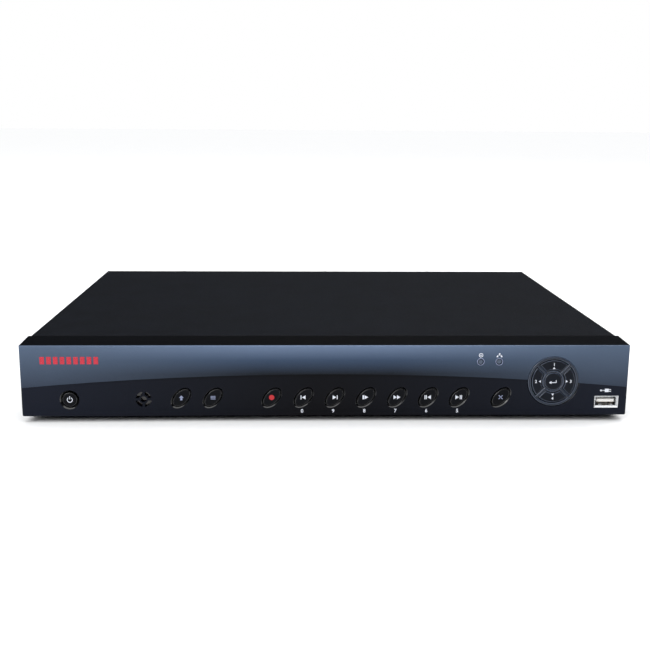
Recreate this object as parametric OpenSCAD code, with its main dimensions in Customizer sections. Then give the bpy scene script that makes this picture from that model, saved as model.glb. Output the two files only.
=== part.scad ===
// Desktop video recorder: a sheet steel case with a moulded front, sprung front keys, a hard drive,
// a fan, a main board and a rear panel of sockets. X runs to the right, Y to the rear and Z up, in
// millimetres. The origin is on the ground, under the middle of the overall depth and width.

/* [Case] */
// Width of the moulded front
case_w = 375; // [370:1:482]
// Depth from the front face to the cover's rear lip
case_d = 285; // [283:1:420]
// Height from the underside of the case to the top of the cover
case_h = 45.5; // [45:0.5:60]
// Thickness of the folded steel sheet
sheet_t = 1.0; // [0.8:0.1:1.2]
// How far the moulded front stands out past the cover on each side
side_step = 1.3; // [1.3:0.1:3]
// Height of the rubber feet
foot_h = 4; // [3:0.5:10]
// Radius of the rubber feet
foot_r = 8; // [6:0.5:12]

/* [Moulded front] */
// Depth of the moulded front
bezel_d = 24; // [22:0.5:32]
// Thickness of its face, where the face is not hollowed
face_t = 3.5; // [3:0.1:4.5]
// Thickness of its top, bottom and side walls
wall_t = 2.2; // [1.8:0.1:3]
// How much lower the top is at the front edge than at the cover
top_fall = 0.9; // [0:0.1:2]
// Thickness of the upper band
band_t = 1.6; // [1.2:0.1:2]
// Height of the band's curved lower edge above the case underside, at mid width
band_z = 26.6; // [20:0.1:32]
// Radius of the band's curved lower edge
band_r = 2085; // [1500:5:4000]
// Deepest hollow of the lower face, at mid width
hollow_d = 1.4; // [0.8:0.1:1.5]

/* [Keys] */
// Half length of an oval key opening
key_a = 7.0; // [5:0.1:8.5]
// Half width of an oval key opening
key_b = 4.1; // [3.4:0.1:5]
// Lean of the oval keys from level
key_lean = 47; // [0:1:90]
// Height of the key row above the case underside
key_z = 11.4; // [9:0.1:14]
// Distance between neighbouring playback keys
key_pitch = 19.36; // [16:0.02:21]
// Middle of the first playback key
play_row_x = -14.6; // [-20:0.1:-10]
// How far a key can be pressed
key_travel = 0.5; // [0.2:0.1:0.8]
// Gap round a key
key_gap = 0.4; // [0.3:0.05:0.8]
// Radius of the power key's opening
power_r = 5.25; // [4:0.05:7]

/* [Direction pad] */
// Middle of the pad, across
pad_x = 140.6; // [136:0.1:144]
// Middle of the pad above the case underside
pad_z = 21.8; // [20:0.1:24]
// Outer radius of the pad's ring
ring_r = 15.7; // [14:0.1:17]
// Width of the ring's rim
ring_w = 1.6; // [1:0.1:2.5]
// Radius of the middle key
enter_r = 5.5; // [4:0.1:6]
// Width of the spokes and of the hub's rim
spoke_w = 1.6; // [0.8:0.1:2.2]

/* [Hard drive] */
// Width of the drive
drive_w = 101.6; // [101.6:0.1:102]
// Length of the drive
drive_l = 147; // [146:0.1:147]
// Height of the drive
drive_h = 26.1; // [20:0.1:26.1]
// Radius of its discs
disc_r = 47.5; // [40:0.5:47.5]

/* [Fan] */
// Width and height of the fan frame
fan_w = 40; // [35:1:40]
// Depth of the fan frame
fan_t = 10; // [10:1:20]

/* [Sockets] */
// Distance between video socket columns
video_pitch = 16.5; // [15.5:0.1:16.6]
// Distance between upper and lower socket rows
row_pitch = 16.4; // [14:0.1:16.4]
// How far the video sockets stand out of the rear panel
video_l = 12.5; // [11:0.1:14]

/* [Hidden] */
$fn = 48;
long_arc_n = 32;      // flats along an arc of more than a metre radius
eps = 0.01;           // lets a cut run past the face that it opens
cut = 1;              // the same, where nothing is close

// Clearances
slip = 0.05;          // between fixed parts, and round a shaft that turns in its hole
free = 0.35;          // between parts that move past each other
panel_gap = 0.3;      // between a square socket and its hole in the rear panel

// Planes of the case
z0 = foot_h;                              // underside of the case
z1 = z0 + case_h;                         // top of the cover
yf = -(case_d - sheet_t + video_l) / 2;   // front face
yr = yf + case_d;                         // rear of the cover's lip
yp = yr - sheet_t;                        // outer face of the rear panel
yi = yp - sheet_t;                        // inner face of the rear panel
yb = yf + bezel_d;                        // seam between the moulded front and the cover
cover_w = case_w - 2 * side_step;
tray_w = cover_w - 2 * sheet_t - 2 * slip;
zt = z0 + sheet_t;                        // upper face of the tray's floor

// Screws
screw_r = 1.5;
head_r = 3.0;
head_h = 1.2;
screw_l = 5;
hole_r = screw_r + slip;

// Feet
foot_x = case_w / 2 - 32;
foot_y = [yf + 45, yr - 27];
foot_sink = 2;                            // depth of the counterbore for the screw's head
foot_spots = [for (x = [-foot_x, foot_x], y = foot_y) [x, y]];

// Side screws and the screws along the rear lip
side_screw_y = [yf + 60, yr - 60];
flange_h = 12;
side_screw_z = zt + 6;
lip_h = 6;
lip_screws = [[-118, z1 - 3], [8, z1 - 3], [100, z1 - 3]];
ground_spot = [-92, z0 + 33];

// Face of the moulded front
hollow_half = 182.5;                      // where the hollow runs out, at the nominal width
hollow_r = (hollow_half * hollow_half + hollow_d * hollow_d) / (2 * hollow_d);
function raw_dip(x) = hollow_d - hollow_r + sqrt(hollow_r * hollow_r - x * x);
function dip(x) = max(0, raw_dip(x));
function band_edge(x) = z0 + band_z - band_r + sqrt(band_r * band_r - x * x);
yw = yf + face_t;                         // inner side of the face

// Key row
key_z_abs = z0 + key_z;
shift_x = -90.0;
function_x = -70.5;
record_x = -34.3;
escape_x = 108.3;
power_x = -158.1;
power_z = z0 + 10.6;
receiver_x = -113.1;
receiver_z = z0 + 10.6;
receiver_r = 4.9;
key_well = 0.8;                           // depth and width of the bevel round a key opening
key_sink = 0.25;                          // how far a key's face lies behind the face round it
key_lip = 0.7;                            // how far a key's collar reaches behind the face
collar_t = 1.0;
stem_r = 1.6;
stem_end = yf + face_t + 4.5;

// Key board and its switches
board_t = 1.6;
yk = yf + 13.4;                           // front of the key board
switch_w = 6.2;
switch_t = 3.6;
plunger_r = 1.5;
plunger_in = 1.0;                         // how far the plunger sits in the switch at rest
ys = yk - switch_t;                       // front of the switches

// Direction pad
pad_zz = z0 + pad_z;
pad_hole = ring_r + slip;
ring_in = ring_r - ring_w;
hub_in = enter_r + key_gap;
hub_out = hub_in + 1.0;
pad_key_out = ring_in - 0.7;
pad_key_in = hub_out + 0.7;
pad_stem = (pad_key_out + pad_key_in) / 2;
pad_face = yf + 0.1;
pad_plate = 2.5;                          // thickness of the ring, spokes and hub
pad_collar = pad_face + pad_plate + free;

// Indicators
led_spots = [[94.7, z0 + 34.3], [106.2, z0 + 34.5]];
pipe_r = 1.55;

// Front USB socket
usb_x = 174.7;
usb_z = z0 + 8.5;
usb_w = 13.2;
usb_h = 5.8;
usb_wall = 0.3;
usb_flare = 0.9;
usb_y = yf + 1.2;                         // start of the flare

// Every switch, by the middle of its key
switch_spots = concat(
  [[power_x, power_z], [shift_x, key_z_abs], [function_x, key_z_abs], [record_x, key_z_abs],
   [escape_x, key_z_abs], [pad_x, pad_zz]],
  [for (i = [0:5]) [play_row_x + i * key_pitch, key_z_abs]],
  [for (d = [[1, 0], [-1, 0], [0, 1], [0, -1]]) [pad_x + d[0] * pad_stem, pad_zz + d[1] * pad_stem]]
);

// Posts that hold the key board, and posts that hold the moulded front to the tray
board_posts = [[-140, z0 + 35], [-50, z0 + 35], [50, z0 + 35], [170, z0 + 35]];
bezel_posts = [[-150, z0 + 6], [150, z0 + 6], [-90, z1 - 7.5], [90, z1 - 7.5]];
post_r = 3.2;
post_front = yk + board_t + 2;            // front of the tray posts, behind the key board

// Hard drive, bolted to bosses on the tray's floor
drive_x = -cover_w / 2 + 68;              // its centre line
drive_y = yb + 10;                        // its front end
drive_z = zt + 4;
boss_r = 4;
drive_holes = [for (s = [-1, 1], y = [drive_l - 28.5 - 76.2, drive_l - 28.5])
               [drive_x + s * 47.6, drive_y + y]];
disc_y = drive_y + drive_w / 2;
disc_t = 1.3;
disc_gap = 4.5;
disc_z = drive_z + 8;                     // underside of the lower disc
hub_r = 12.4;
spindle_r = 3;
lid_t = 1.2;
pivot_x = drive_x + 26;
pivot_y = disc_y + 56;
pivot_r = 4;
arm_hub_r = 8;
arm_l = 48;
arm_rest = -108;                          // direction of the parked arm, about the pivot
plug_x = drive_x + 23;                    // middle of the drive's connector

// Main board, along the rear and up the right side
mb_z = zt + 6;
mb_top = mb_z + board_t;
mb_strip = 84;                            // depth of its rear strip
mb_back = yi - 1.5;
mb_right = tray_w / 2 - sheet_t - 3;
mb_left = drive_x - 11.8;
mb_wing_x = 10;
mb_front = yf + 100;
mb_holes = [[mb_left + 6, mb_back - mb_strip + 6], [mb_left + 6, mb_back - 16],
            [mb_wing_x + 6, mb_front + 6], [mb_right - 6, mb_front + 6],
            [mb_right - 6, mb_back - mb_strip - 6], [mb_wing_x + 6, mb_back - mb_strip + 6]];

// Processor and coin cell on the main board
chip_x = 90;
chip_y = mb_front + 42;
chip_w = 31;
chip_t = 2.4;
cell_x = 40;
cell_y = mb_front + 34;
cell_r = 10;
cell_t = 3.2;
cell_floor = 1;                           // of the holder, under the cell

// Ribbon from the key board to the main board
ribbon_x = 35;
ribbon_z = z0 + 20;

// Rear sockets
row_low = mb_top + 7;
row_high = row_low + row_pitch;
socket_block_h = 31;
socket_block_d = 16;
video_x = 108.5;
video_spots = concat(
  [for (i = [0:3], z = [row_low, row_high]) [video_x + i * video_pitch, z]],
  [[video_x + 4 * video_pitch, row_low]]);
video_r = 4.8;
video_bore = 4.05;
audio_x = 64;
audio_pitch = 14;
audio_l = 9;
audio_r = 4.15;
audio_spots = [for (i = [0:2], z = [row_low, row_high]) [audio_x + i * audio_pitch, z]];
contact_r = 0.95;                         // centre contact of a video socket
monitor_x = 40;
monitor_z = mb_top + 7.5;
monitor_w = 30.8;
monitor_h = 12.4;
jack_screw_x = 12.5;                      // from the middle of the monitor socket to a jack screw
jack_screw_r = 1.42;
jack_screw_end = yp + 5;
digital_x = 14;
digital_w = 15;
digital_h = 5.8;
digital_d = 11;
usb2_x = -6;
usb2_z = mb_top + usb_h / 2 + 0.1;
usb2_l = 13;
network_x = -27;
network_w = 16;
network_h = 13.6;
network_d = 16;
plug_way_d = 12;                          // how far the network plug goes in
terminal_x = -62;
terminal_n = 8;
terminal_pitch = 3.5;
terminal_w = terminal_n * terminal_pitch + 3;
terminal_h = 10;
terminal_out = 7;                         // how far the terminals stand out of the panel
dc_x = -92;
dc_z = mb_top + 5.5;
dc_bore = 3.0;
dc_wall = 1.4;
dc_plug_d = 9;                            // how far the power plug goes in
socket_out = 0.6;                         // how far a socket's mouth stands out of the panel
rocker_x = -116;
rocker_z = z0 + 22;
rocker_w = 19.4;
rocker_h = 13;
rocker_room = 8.95;                       // half length of the housing's cavity
rocker_half = 7.8;
rocker_tilt = 12;
rocker_py = yp - 3.5;                     // depth of the rocker's pivot
rocker_pin = 1.2;
fan_x = -tray_w / 2 + sheet_t + 9 + fan_w / 2;
fan_z = zt + 1.5 + fan_w / 2;
fan_bore = fan_w / 2 - 1.4;
fan_hub = 9;
fan_plate_t = 1.6;
fan_shaft_r = 1;

// ---------- helpers ----------

// A round bar along Y
module bar_y(r, ya, yz) {
  translate([0, ya, 0]) rotate([-90, 0, 0]) cylinder(r = r, h = yz - ya);
}

// A flat shape drawn in X and Z, given thickness along Y
module plate_y(ya, yz) {
  translate([0, yz, 0]) rotate([90, 0, 0]) linear_extrude(yz - ya) children();
}

// A profile drawn in Y and Z, given length along X
module bar_x(xa, xz) {
  translate([xa, 0, 0]) rotate([90, 0, 90]) linear_extrude(xz - xa) children();
}

// A block between two corners
module block(a, b) {
  translate(a) cube(b - a);
}

// A rectangle with true round corners
module round_rect(w, h, r) {
  square([w - 2 * r, h], center = true);
  square([w, h - 2 * r], center = true);
  for (x = [-1, 1], y = [-1, 1]) translate([x * (w / 2 - r), y * (h / 2 - r)]) circle(r);
}

// Places children at each [x, z] of a list
module at_xz(spots) {
  for (s = spots) translate([s[0], 0, s[1]]) children();
}

// The same for a flat shape
module at_xz_2d(spots) {
  for (s = spots) translate(s) children();
}

// Points of an arc, used for the rounded corners of a profile
function arc_pts(cx, cy, r, a0, a1, n = 6) =
  [for (i = [0:n]) let (a = a0 + (a1 - a0) * i / n) [cx + r * cos(a), cy + r * sin(a)]];

// Points of an ellipse
function oval_pts(a, b, n = 40) = [for (i = [0:n - 1]) [a * cos(360 * i / n), b * sin(360 * i / n)]];

module oval(a, b) {
  rotate(key_lean) polygon(oval_pts(a, b));
}

// A screw along +Y: its head lies in front of y = 0 and its shank runs behind
module screw_y(l = screw_l) {
  bar_y(head_r, -head_h, 0);
  bar_y(screw_r, -eps, l);
}

// ---------- case ----------

module base_tray() {
  floor_y0 = yb;
  floor_vent_n = 8;
  floor_vent_w = 3;
  floor_vent_pitch = 8;
  color([0.62, 0.64, 0.66]) difference() {
    union() {
      block([-tray_w / 2, floor_y0, z0], [tray_w / 2, yi - slip, zt]);
      // front flange
      block([-tray_w / 2, floor_y0, z0], [tray_w / 2, floor_y0 + sheet_t, z1 - sheet_t - slip]);
      // side flanges
      for (s = [-1, 1]) block(
        [s > 0 ? tray_w / 2 - sheet_t : -tray_w / 2, floor_y0, z0],
        [s > 0 ? tray_w / 2 : -tray_w / 2 + sheet_t, yi - slip, zt + flange_h]);
      // bosses under the main board and the drive
      for (h = mb_holes) translate([h[0], h[1], zt - eps]) cylinder(r = boss_r, h = mb_z - zt + eps);
      for (h = drive_holes) translate([h[0], h[1], zt - eps])
        cylinder(r = boss_r, h = drive_z - zt + eps);
    }
    for (h = concat(mb_holes, drive_holes)) translate([h[0], h[1], z0 - cut])
      cylinder(r = hole_r, h = mb_z - z0 + 2 * cut);
    for (h = foot_spots) translate([h[0], h[1], z0 - cut]) cylinder(r = hole_r, h = sheet_t + 2 * cut);
    // holes for the moulded front's screws, and ways through for the leads
    at_xz(bezel_posts) bar_y(hole_r, floor_y0 - cut, floor_y0 + sheet_t + cut);
    block([ribbon_x - 12, floor_y0 - cut, ribbon_z - 4],
          [ribbon_x + 12, floor_y0 + sheet_t + cut, ribbon_z + 4]);
    for (s = [-1, 1], y = side_screw_y) translate([s * tray_w / 2, y, side_screw_z])
      rotate([0, 90, 0]) cylinder(r = hole_r, h = 6 * sheet_t, center = true);
    // floor vents between the drive and the main board
    for (i = [0:floor_vent_n - 1]) translate([0, yb + 24 + i * floor_vent_pitch, 0])
      block([-30, 0, z0 - cut], [0, floor_vent_w, zt + cut]);
  }
}

// Level slots in front of the fan
module fan_grille() {
  slot_h = 2.4;
  slot_pitch = 4;
  slot_n = 4;                               // on each side of the middle one
  intersection() {
    translate([fan_x, fan_z]) circle(fan_bore - 1);
    for (i = [-slot_n:slot_n]) translate([fan_x, fan_z + i * slot_pitch])
      square([fan_w, slot_h], center = true);
  }
}

module panel_hole(x, z, w, h, gap) {
  translate([x, z]) square([w + 2 * gap, h + 2 * gap], center = true);
}

module rear_panel() {
  color([0.62, 0.64, 0.66]) plate_y(yi, yp) difference() {
    translate([0, (z0 + z1 - sheet_t - slip) / 2])
      square([tray_w, z1 - sheet_t - slip - z0], center = true);
    at_xz_2d(video_spots) circle(video_r + 2 * slip);
    at_xz_2d(audio_spots) circle(audio_r + 2 * slip);
    translate([monitor_x, monitor_z])
      round_rect(monitor_w + 2 * panel_gap, monitor_h + 2 * panel_gap, 1);
    panel_hole(digital_x, mb_top + digital_h / 2, digital_w, digital_h, panel_gap);
    panel_hole(usb2_x, usb2_z, usb_w, usb_h, panel_gap);
    panel_hole(network_x, mb_top + network_h / 2, network_w, network_h, panel_gap);
    panel_hole(terminal_x, mb_top + terminal_h / 2, terminal_w, terminal_h, panel_gap);
    translate([dc_x, dc_z]) circle(dc_bore + dc_wall + panel_gap);
    panel_hole(rocker_x, rocker_z, rocker_w, rocker_h, slip);
    translate(ground_spot) circle(hole_r);
    at_xz_2d(lip_screws) circle(hole_r);
    fan_grille();
  }
}

module top_cover() {
  vent_n = 24;
  vent_pitch = 6;
  vent_w = 2.4;
  vent_h = 16;
  color([0.09, 0.1, 0.12]) difference() {
    union() {
      block([-cover_w / 2, yb, z1 - sheet_t], [cover_w / 2, yr, z1]);
      for (s = [-1, 1]) block(
        [s > 0 ? cover_w / 2 - sheet_t : -cover_w / 2, yb, z0],
        [s > 0 ? cover_w / 2 : -cover_w / 2 + sheet_t, yr, z1]);
      block([-cover_w / 2, yp, z1 - lip_h], [cover_w / 2, yr, z1]);
    }
    // a row of upright vents in each side
    for (s = [-1, 1], i = [0:vent_n - 1])
      translate([s * cover_w / 2, yb + 70 + i * vent_pitch, z0 + 28])
        cube([6 * sheet_t, vent_w, vent_h], center = true);
    for (s = [-1, 1], y = side_screw_y) translate([s * cover_w / 2, y, side_screw_z])
      rotate([0, 90, 0]) cylinder(r = hole_r, h = 6 * sheet_t, center = true);
    at_xz(lip_screws) bar_y(hole_r, yp - cut, yr + cut);
  }
}

// The outer form of the moulded front, band included
module bezel_form() {
  rt = 0.9;                                 // rounding of the top and bottom front edges
  rc = 1.6;                                 // rounding of the lower corners
  re = 1.2;                                 // rounding of the upright edges
  w = case_w / 2;
  zf = z1 - top_fall;                       // height of the top at the front edge
  intersection() {
    bar_x(-w - cut, w + cut) polygon(concat(
      [[yb, z1], [yb, z0]],
      arc_pts(yf + rt, z0 + rt, rt, 270, 180),
      arc_pts(yf + rt, zf - rt, rt, 180, 90)));
    plate_y(yf - cut, yb + cut) polygon(concat(
      [[w, z1 + cut], [-w, z1 + cut]],
      arc_pts(-w + rc, z0 + rc, rc, 180, 270),
      arc_pts(w - rc, z0 + rc, rc, 270, 360)));
    linear_extrude(z1 + cut) polygon(concat(
      [[w, yb + cut], [-w, yb + cut]],
      arc_pts(-w + re, yf + re, re, 180, 270),
      arc_pts(w - re, yf + re, re, 270, 360)));
  }
}

// The slab above the curved edge, grown downwards by g
module band_slab(ya, yz, g) {
  w = case_w / 2 + cut;
  plate_y(ya, yz) polygon(concat(
    [[w, z1 + cut], [-w, z1 + cut]],
    [for (i = [0:long_arc_n]) let (x = w * (2 * i / long_arc_n - 1)) [x, band_edge(x) - g]]));
}

// What the hollow of the lower face takes away
module face_hollow() {
  w = case_w / 2 + cut;
  linear_extrude(z1 + cut) polygon(concat(
    [[w, yf - cut], [-w, yf - cut]],
    [for (i = [0:long_arc_n]) let (x = w * (2 * i / long_arc_n - 1)) [x, yf + raw_dip(x)]]));
}

// An oval opening through the face, with its bevel
module oval_opening(x) {
  translate([x, 0, key_z_abs]) {
    plate_y(yf - cut, yw + cut) oval(key_a, key_b);
    translate([0, yf + dip(x) + key_well, 0]) rotate([90, 0, 0]) rotate(key_lean)
      linear_extrude(key_well + cut, slices = 1, segments = 0,
        scale = [1 + (key_well + cut) / key_a, 1 + (key_well + cut) / key_b])
        polygon(oval_pts(key_a, key_b));
  }
}

// A round opening at the origin through the face, with its bevel starting at depth d
module round_opening(r, d, bevel) {
  bar_y(r, yf - cut, yw + cut);
  translate([0, yf + d - cut, 0]) rotate([-90, 0, 0])
    cylinder(r1 = r + bevel + cut, r2 = r, h = bevel + cut);
}

// The receiver's grille: a round hole inside four curved slots
module receiver_grille() {
  circle(1.9);
  difference() {
    circle(receiver_r);
    circle(2.8);
    for (a = [0, 90]) rotate(a) square([2 * receiver_r + cut, 1.5], center = true);
  }
}

module front_bezel() {
  color([0.09, 0.09, 0.12]) {
    difference() {
      bezel_form();
      // the hollow inside
      block([-case_w / 2 + wall_t, yw, z0 + wall_t],
            [case_w / 2 - wall_t, yb + cut, z1 - top_fall - wall_t]);
      // the seat of the band and the hollow of the lower face
      band_slab(yf - cut, yf + band_t, 0);
      face_hollow();
      for (x = concat([shift_x, function_x, record_x, escape_x],
                      [for (i = [0:5]) play_row_x + i * key_pitch])) oval_opening(x);
      translate([power_x, 0, power_z]) round_opening(power_r, dip(power_x), key_well);
      translate([pad_x, 0, pad_zz]) round_opening(pad_hole, dip(pad_x), 0.5);
      plate_y(yf - cut, yw + cut) {
        translate([receiver_x, receiver_z]) receiver_grille();
        translate([usb_x, usb_z])
          round_rect(usb_w + 2 * usb_flare + 0.6, usb_h + 2 * usb_flare + 0.5, 1);
      }
      at_xz(led_spots) bar_y(pipe_r + slip, yf - cut, yw + cut);
    }
    // posts for the key board
    at_xz(board_posts) difference() {
      bar_y(post_r, yw - eps, yk);
      bar_y(hole_r, yk - screw_l, yk + cut);
    }
    // posts for the tray's screws, on the floor and under the top
    for (p = bezel_posts) difference() {
      block([p[0] - 4, post_front, p[1] < z0 + 20 ? z0 + wall_t - eps : p[1] - 4],
            [p[0] + 4, yb, p[1] < z0 + 20 ? p[1] + 4 : z1 - top_fall - wall_t + eps]);
      translate([p[0], 0, p[1]]) bar_y(hole_r, yb - screw_l, yb + cut);
    }
  }
}

module fascia_band() {
  color([0.27, 0.33, 0.42]) difference() {
    intersection() {
      bezel_form();
      band_slab(yf - cut, yf + band_t - slip, -slip);
    }
    at_xz(led_spots) bar_y(pipe_r + 0.35, yf - cut, yf + band_t + cut);
    translate([pad_x, 0, pad_zz]) round_opening(pad_hole, 0, 0.5);
  }
}

module rubber_feet() {
  color([0.08, 0.08, 0.08]) for (h = foot_spots) translate([h[0], h[1], 0]) difference() {
    cylinder(r1 = foot_r - 0.8, r2 = foot_r, h = foot_h);
    translate([0, 0, -cut]) cylinder(r = head_r + 0.4, h = foot_sink + cut);
    translate([0, 0, foot_sink - eps]) cylinder(r = hole_r, h = foot_h);
  }
}

module case_screws() {
  color([0.5, 0.51, 0.53]) {
    for (h = foot_spots) translate([h[0], h[1], foot_sink]) rotate([90, 0, 0]) screw_y();
    for (s = [-1, 1], y = side_screw_y) translate([s * cover_w / 2, y, side_screw_z])
      rotate([0, 0, s * 90]) screw_y();
    at_xz(lip_screws) translate([0, yr, 0]) rotate([0, 0, 180]) screw_y();
    translate([ground_spot[0], yp, ground_spot[1]]) rotate([0, 0, 180]) screw_y();
    at_xz(bezel_posts) translate([0, yb + sheet_t, 0]) rotate([0, 0, 180]) screw_y();
  }
}

// ---------- front keys ----------

// Collar, stem and switch plunger behind a cap, at the origin of X and Z
module key_back(collar_y) {
  bar_y(stem_r, collar_y, stem_end);
  bar_y(plunger_r, stem_end + slip, ys + plunger_in);
}

module oval_key(x) {
  face = yf + dip(x) + key_sink;
  collar_y = yw + free;
  color([0.07, 0.07, 0.09]) translate([x, 0, key_z_abs]) {
    plate_y(face, collar_y + eps) oval(key_a - key_gap, key_b - key_gap);
    plate_y(collar_y, collar_y + collar_t) oval(key_a + key_lip, key_b + key_lip);
    key_back(collar_y);
  }
}

module power_button() {
  face = yf + dip(power_x) + key_sink;
  collar_y = yw + free;
  color([0.07, 0.07, 0.09]) translate([power_x, 0, power_z]) {
    bar_y(power_r - 2 * key_gap, face, collar_y + eps);
    bar_y(power_r + key_lip, collar_y, collar_y + collar_t);
    key_back(collar_y);
  }
}

module shift_button() { oval_key(shift_x); }
module function_button() { oval_key(function_x); }
module record_button() { oval_key(record_x); }
module previous_button() { oval_key(play_row_x); }
module next_button() { oval_key(play_row_x + key_pitch); }
module slow_button() { oval_key(play_row_x + 2 * key_pitch); }
module fast_button() { oval_key(play_row_x + 3 * key_pitch); }
module reverse_button() { oval_key(play_row_x + 4 * key_pitch); }
module play_button() { oval_key(play_row_x + 5 * key_pitch); }
module escape_button() { oval_key(escape_x); }

// A quarter of a ring that points along +X, its straight edges g away from the diagonals
module quarter_ring(ra, rb, g) {
  intersection() {
    difference() { circle(rb, $fn = 96); circle(ra, $fn = 96); }
    polygon([[g * sqrt(2), 0], [g * sqrt(2) + rb, rb], [g * sqrt(2) + rb, -rb]]);
  }
}

module direction_key(turn) {
  color([0.08, 0.09, 0.11]) translate([pad_x, 0, pad_zz]) {
    plate_y(pad_face, pad_collar + eps) rotate(turn)
      quarter_ring(pad_key_in, pad_key_out, spoke_w / 2 + key_gap);
    plate_y(pad_collar, pad_collar + collar_t) rotate(turn)
      quarter_ring(hub_out - 0.35, pad_key_out + 0.3, free / 2 + 0.2);
    translate([pad_stem * cos(turn), 0, pad_stem * sin(turn)]) key_back(pad_collar);
  }
}

module right_key() { direction_key(0); }
module up_key() { direction_key(90); }
module left_key() { direction_key(180); }
module down_key() { direction_key(270); }

module enter_button() {
  color([0.08, 0.09, 0.11]) translate([pad_x, 0, pad_zz]) {
    bar_y(enter_r, pad_face, pad_collar + eps);
    bar_y(hub_in + 0.25, pad_collar, pad_collar + collar_t);
    key_back(pad_collar);
  }
}

module direction_ring() {
  color([0.16, 0.18, 0.21]) translate([pad_x, 0, pad_zz]) {
    plate_y(pad_face, yw + 1) difference() { circle(ring_r, $fn = 96); circle(ring_in, $fn = 96); }
    plate_y(yw, yw + 1) difference() { circle(ring_r + 2, $fn = 96); circle(ring_in, $fn = 96); }
    plate_y(pad_face, pad_face + pad_plate) {
      difference() { circle(hub_out); circle(hub_in); }
      difference() {
        intersection() {
          circle(ring_in + 0.5, $fn = 96);
          for (a = [45, 135]) rotate(a) square([2 * ring_r, spoke_w], center = true);
        }
        circle((hub_in + hub_out) / 2);
      }
    }
  }
}

// ---------- behind the front ----------

module receiver_window() {
  color([0.12, 0.03, 0.05]) translate([receiver_x, 0, receiver_z]) bar_y(receiver_r + 1.2, yw, yw + 1.5);
}

module light_pipes() {
  color([0.85, 0.9, 0.95]) at_xz(led_spots) {
    bar_y(pipe_r, yf + 0.3, yk - 3.2);
    bar_y(pipe_r + 0.9, yw + slip, yw + 1.2);
  }
}

module key_board() {
  w = case_w - 2 * wall_t - 2;
  color([0.06, 0.3, 0.16]) difference() {
    plate_y(yk, yk + board_t) difference() {
      translate([-w / 2, z0 + wall_t + 0.4]) square([w, 38 - wall_t]);
      at_xz_2d(board_posts) circle(hole_r);
    }
  }
}

module key_switches() {
  color([0.2, 0.2, 0.22]) at_xz(switch_spots) difference() {
    translate([-switch_w / 2, ys, -switch_w / 2]) cube([switch_w, switch_t - eps, switch_w]);
    bar_y(plunger_r + slip, ys - cut, ys + plunger_in + key_travel + free);
  }
}

module indicator_leds() {
  color([0.9, 0.9, 0.8]) at_xz(led_spots) {
    bar_y(1.4, yk - 2.9, yk);
    bar_y(1.9, yk - 1, yk);
  }
}

module infrared_receiver() {
  color([0.1, 0.1, 0.11]) translate([receiver_x, 0, receiver_z]) {
    translate([-3, yk - 4, -3.5]) cube([6, 4, 7]);
    bar_y(2.4, yk - 5.6, yk - 3.9);
  }
}

// A USB shell: a thin rectangular tube with its mouth at y = 0, its length along -Y when s = -1
module usb_shell_tube(l) {
  plate_y(0, l) difference() {
    square([usb_w, usb_h], center = true);
    square([usb_w - 2 * usb_wall, usb_h - 2 * usb_wall], center = true);
  }
  plate_y(l - usb_wall, l) square([usb_w, usb_h], center = true);
}

// The flare at the mouth, drawn in by t and l long
module usb_mouth(t, l) {
  w = usb_w - 2 * t;
  h = usb_h - 2 * t;
  rotate([90, 0, 0]) linear_extrude(l, slices = 1, segments = 0,
    scale = [1 + 2 * usb_flare / w, 1 + 2 * usb_flare / h]) square([w, h], center = true);
}

// The tongue that carries the contacts, between two depths
module usb_tongue(ya, yz) {
  translate([-5.55, ya, -0.6]) cube([11.1, yz - ya, 1.9]);
}

module front_usb_shell() {
  color([0.8, 0.81, 0.83]) translate([usb_x, usb_y, usb_z]) difference() {
    union() {
      usb_shell_tube(yk - usb_y);
      translate([0, slip, 0]) usb_mouth(0, 1);
    }
    translate([0, slip + eps, 0]) usb_mouth(usb_wall, 1 + 2 * eps);
  }
}

module front_usb_tongue() {
  end = yk - usb_y - usb_wall - slip;
  color([0.93, 0.93, 0.92]) translate([usb_x, usb_y, usb_z]) {
    usb_tongue(1.2, end);
    translate([-5.9, end - 3.65, -2.4]) cube([11.8, 3.65, 4.8]);
  }
}

// ---------- main board ----------

module main_board() {
  color([0.05, 0.28, 0.15]) difference() {
    union() {
      block([mb_left, mb_back - mb_strip, mb_z], [mb_right, mb_back, mb_top]);
      block([mb_wing_x, mb_front, mb_z], [mb_right, mb_back - mb_strip + cut, mb_top]);
    }
    for (h = mb_holes) translate([h[0], h[1], mb_z - cut]) cylinder(r = hole_r, h = board_t + 2 * cut);
  }
}

module board_screws() {
  color([0.75, 0.75, 0.72]) {
    for (h = mb_holes) translate([h[0], h[1], mb_top]) rotate([-90, 0, 0]) screw_y();
    at_xz(board_posts) translate([0, yk + board_t, 0]) rotate([0, 0, 180]) screw_y(screw_l);
  }
}

module heat_sink() {
  w = 42;
  base_t = 3;
  fin_n = 10;
  fin_t = 1.2;
  fin_h = 15;
  color([0.7, 0.71, 0.73]) translate([chip_x - w / 2, chip_y - w / 2, mb_top + chip_t]) {
    cube([w, w, base_t]);
    for (i = [0:fin_n - 1]) translate([i * (w - fin_t) / (fin_n - 1), 0, 0]) cube([fin_t, w, fin_h]);
  }
}

// The processor under the heat sink, four memories, two video chips and the network transformer
module circuit_chips() {
  memory = [13, 9, 1.2];
  decoder = [14, 14, 1.6];
  transformer = [16, 10, 6];
  color([0.09, 0.09, 0.1]) {
    translate([chip_x - chip_w / 2, chip_y - chip_w / 2, mb_top]) cube([chip_w, chip_w, chip_t]);
    for (i = [0:3]) translate([chip_x - 40 + i * 22, chip_y + 30, mb_top]) cube(memory);
    for (i = [0:1]) translate([video_x + i * 30, mb_back - mb_strip + 28, mb_top]) cube(decoder);
    translate([network_x - transformer[0] / 2, mb_back - 36, mb_top]) cube(transformer);
  }
}

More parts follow.
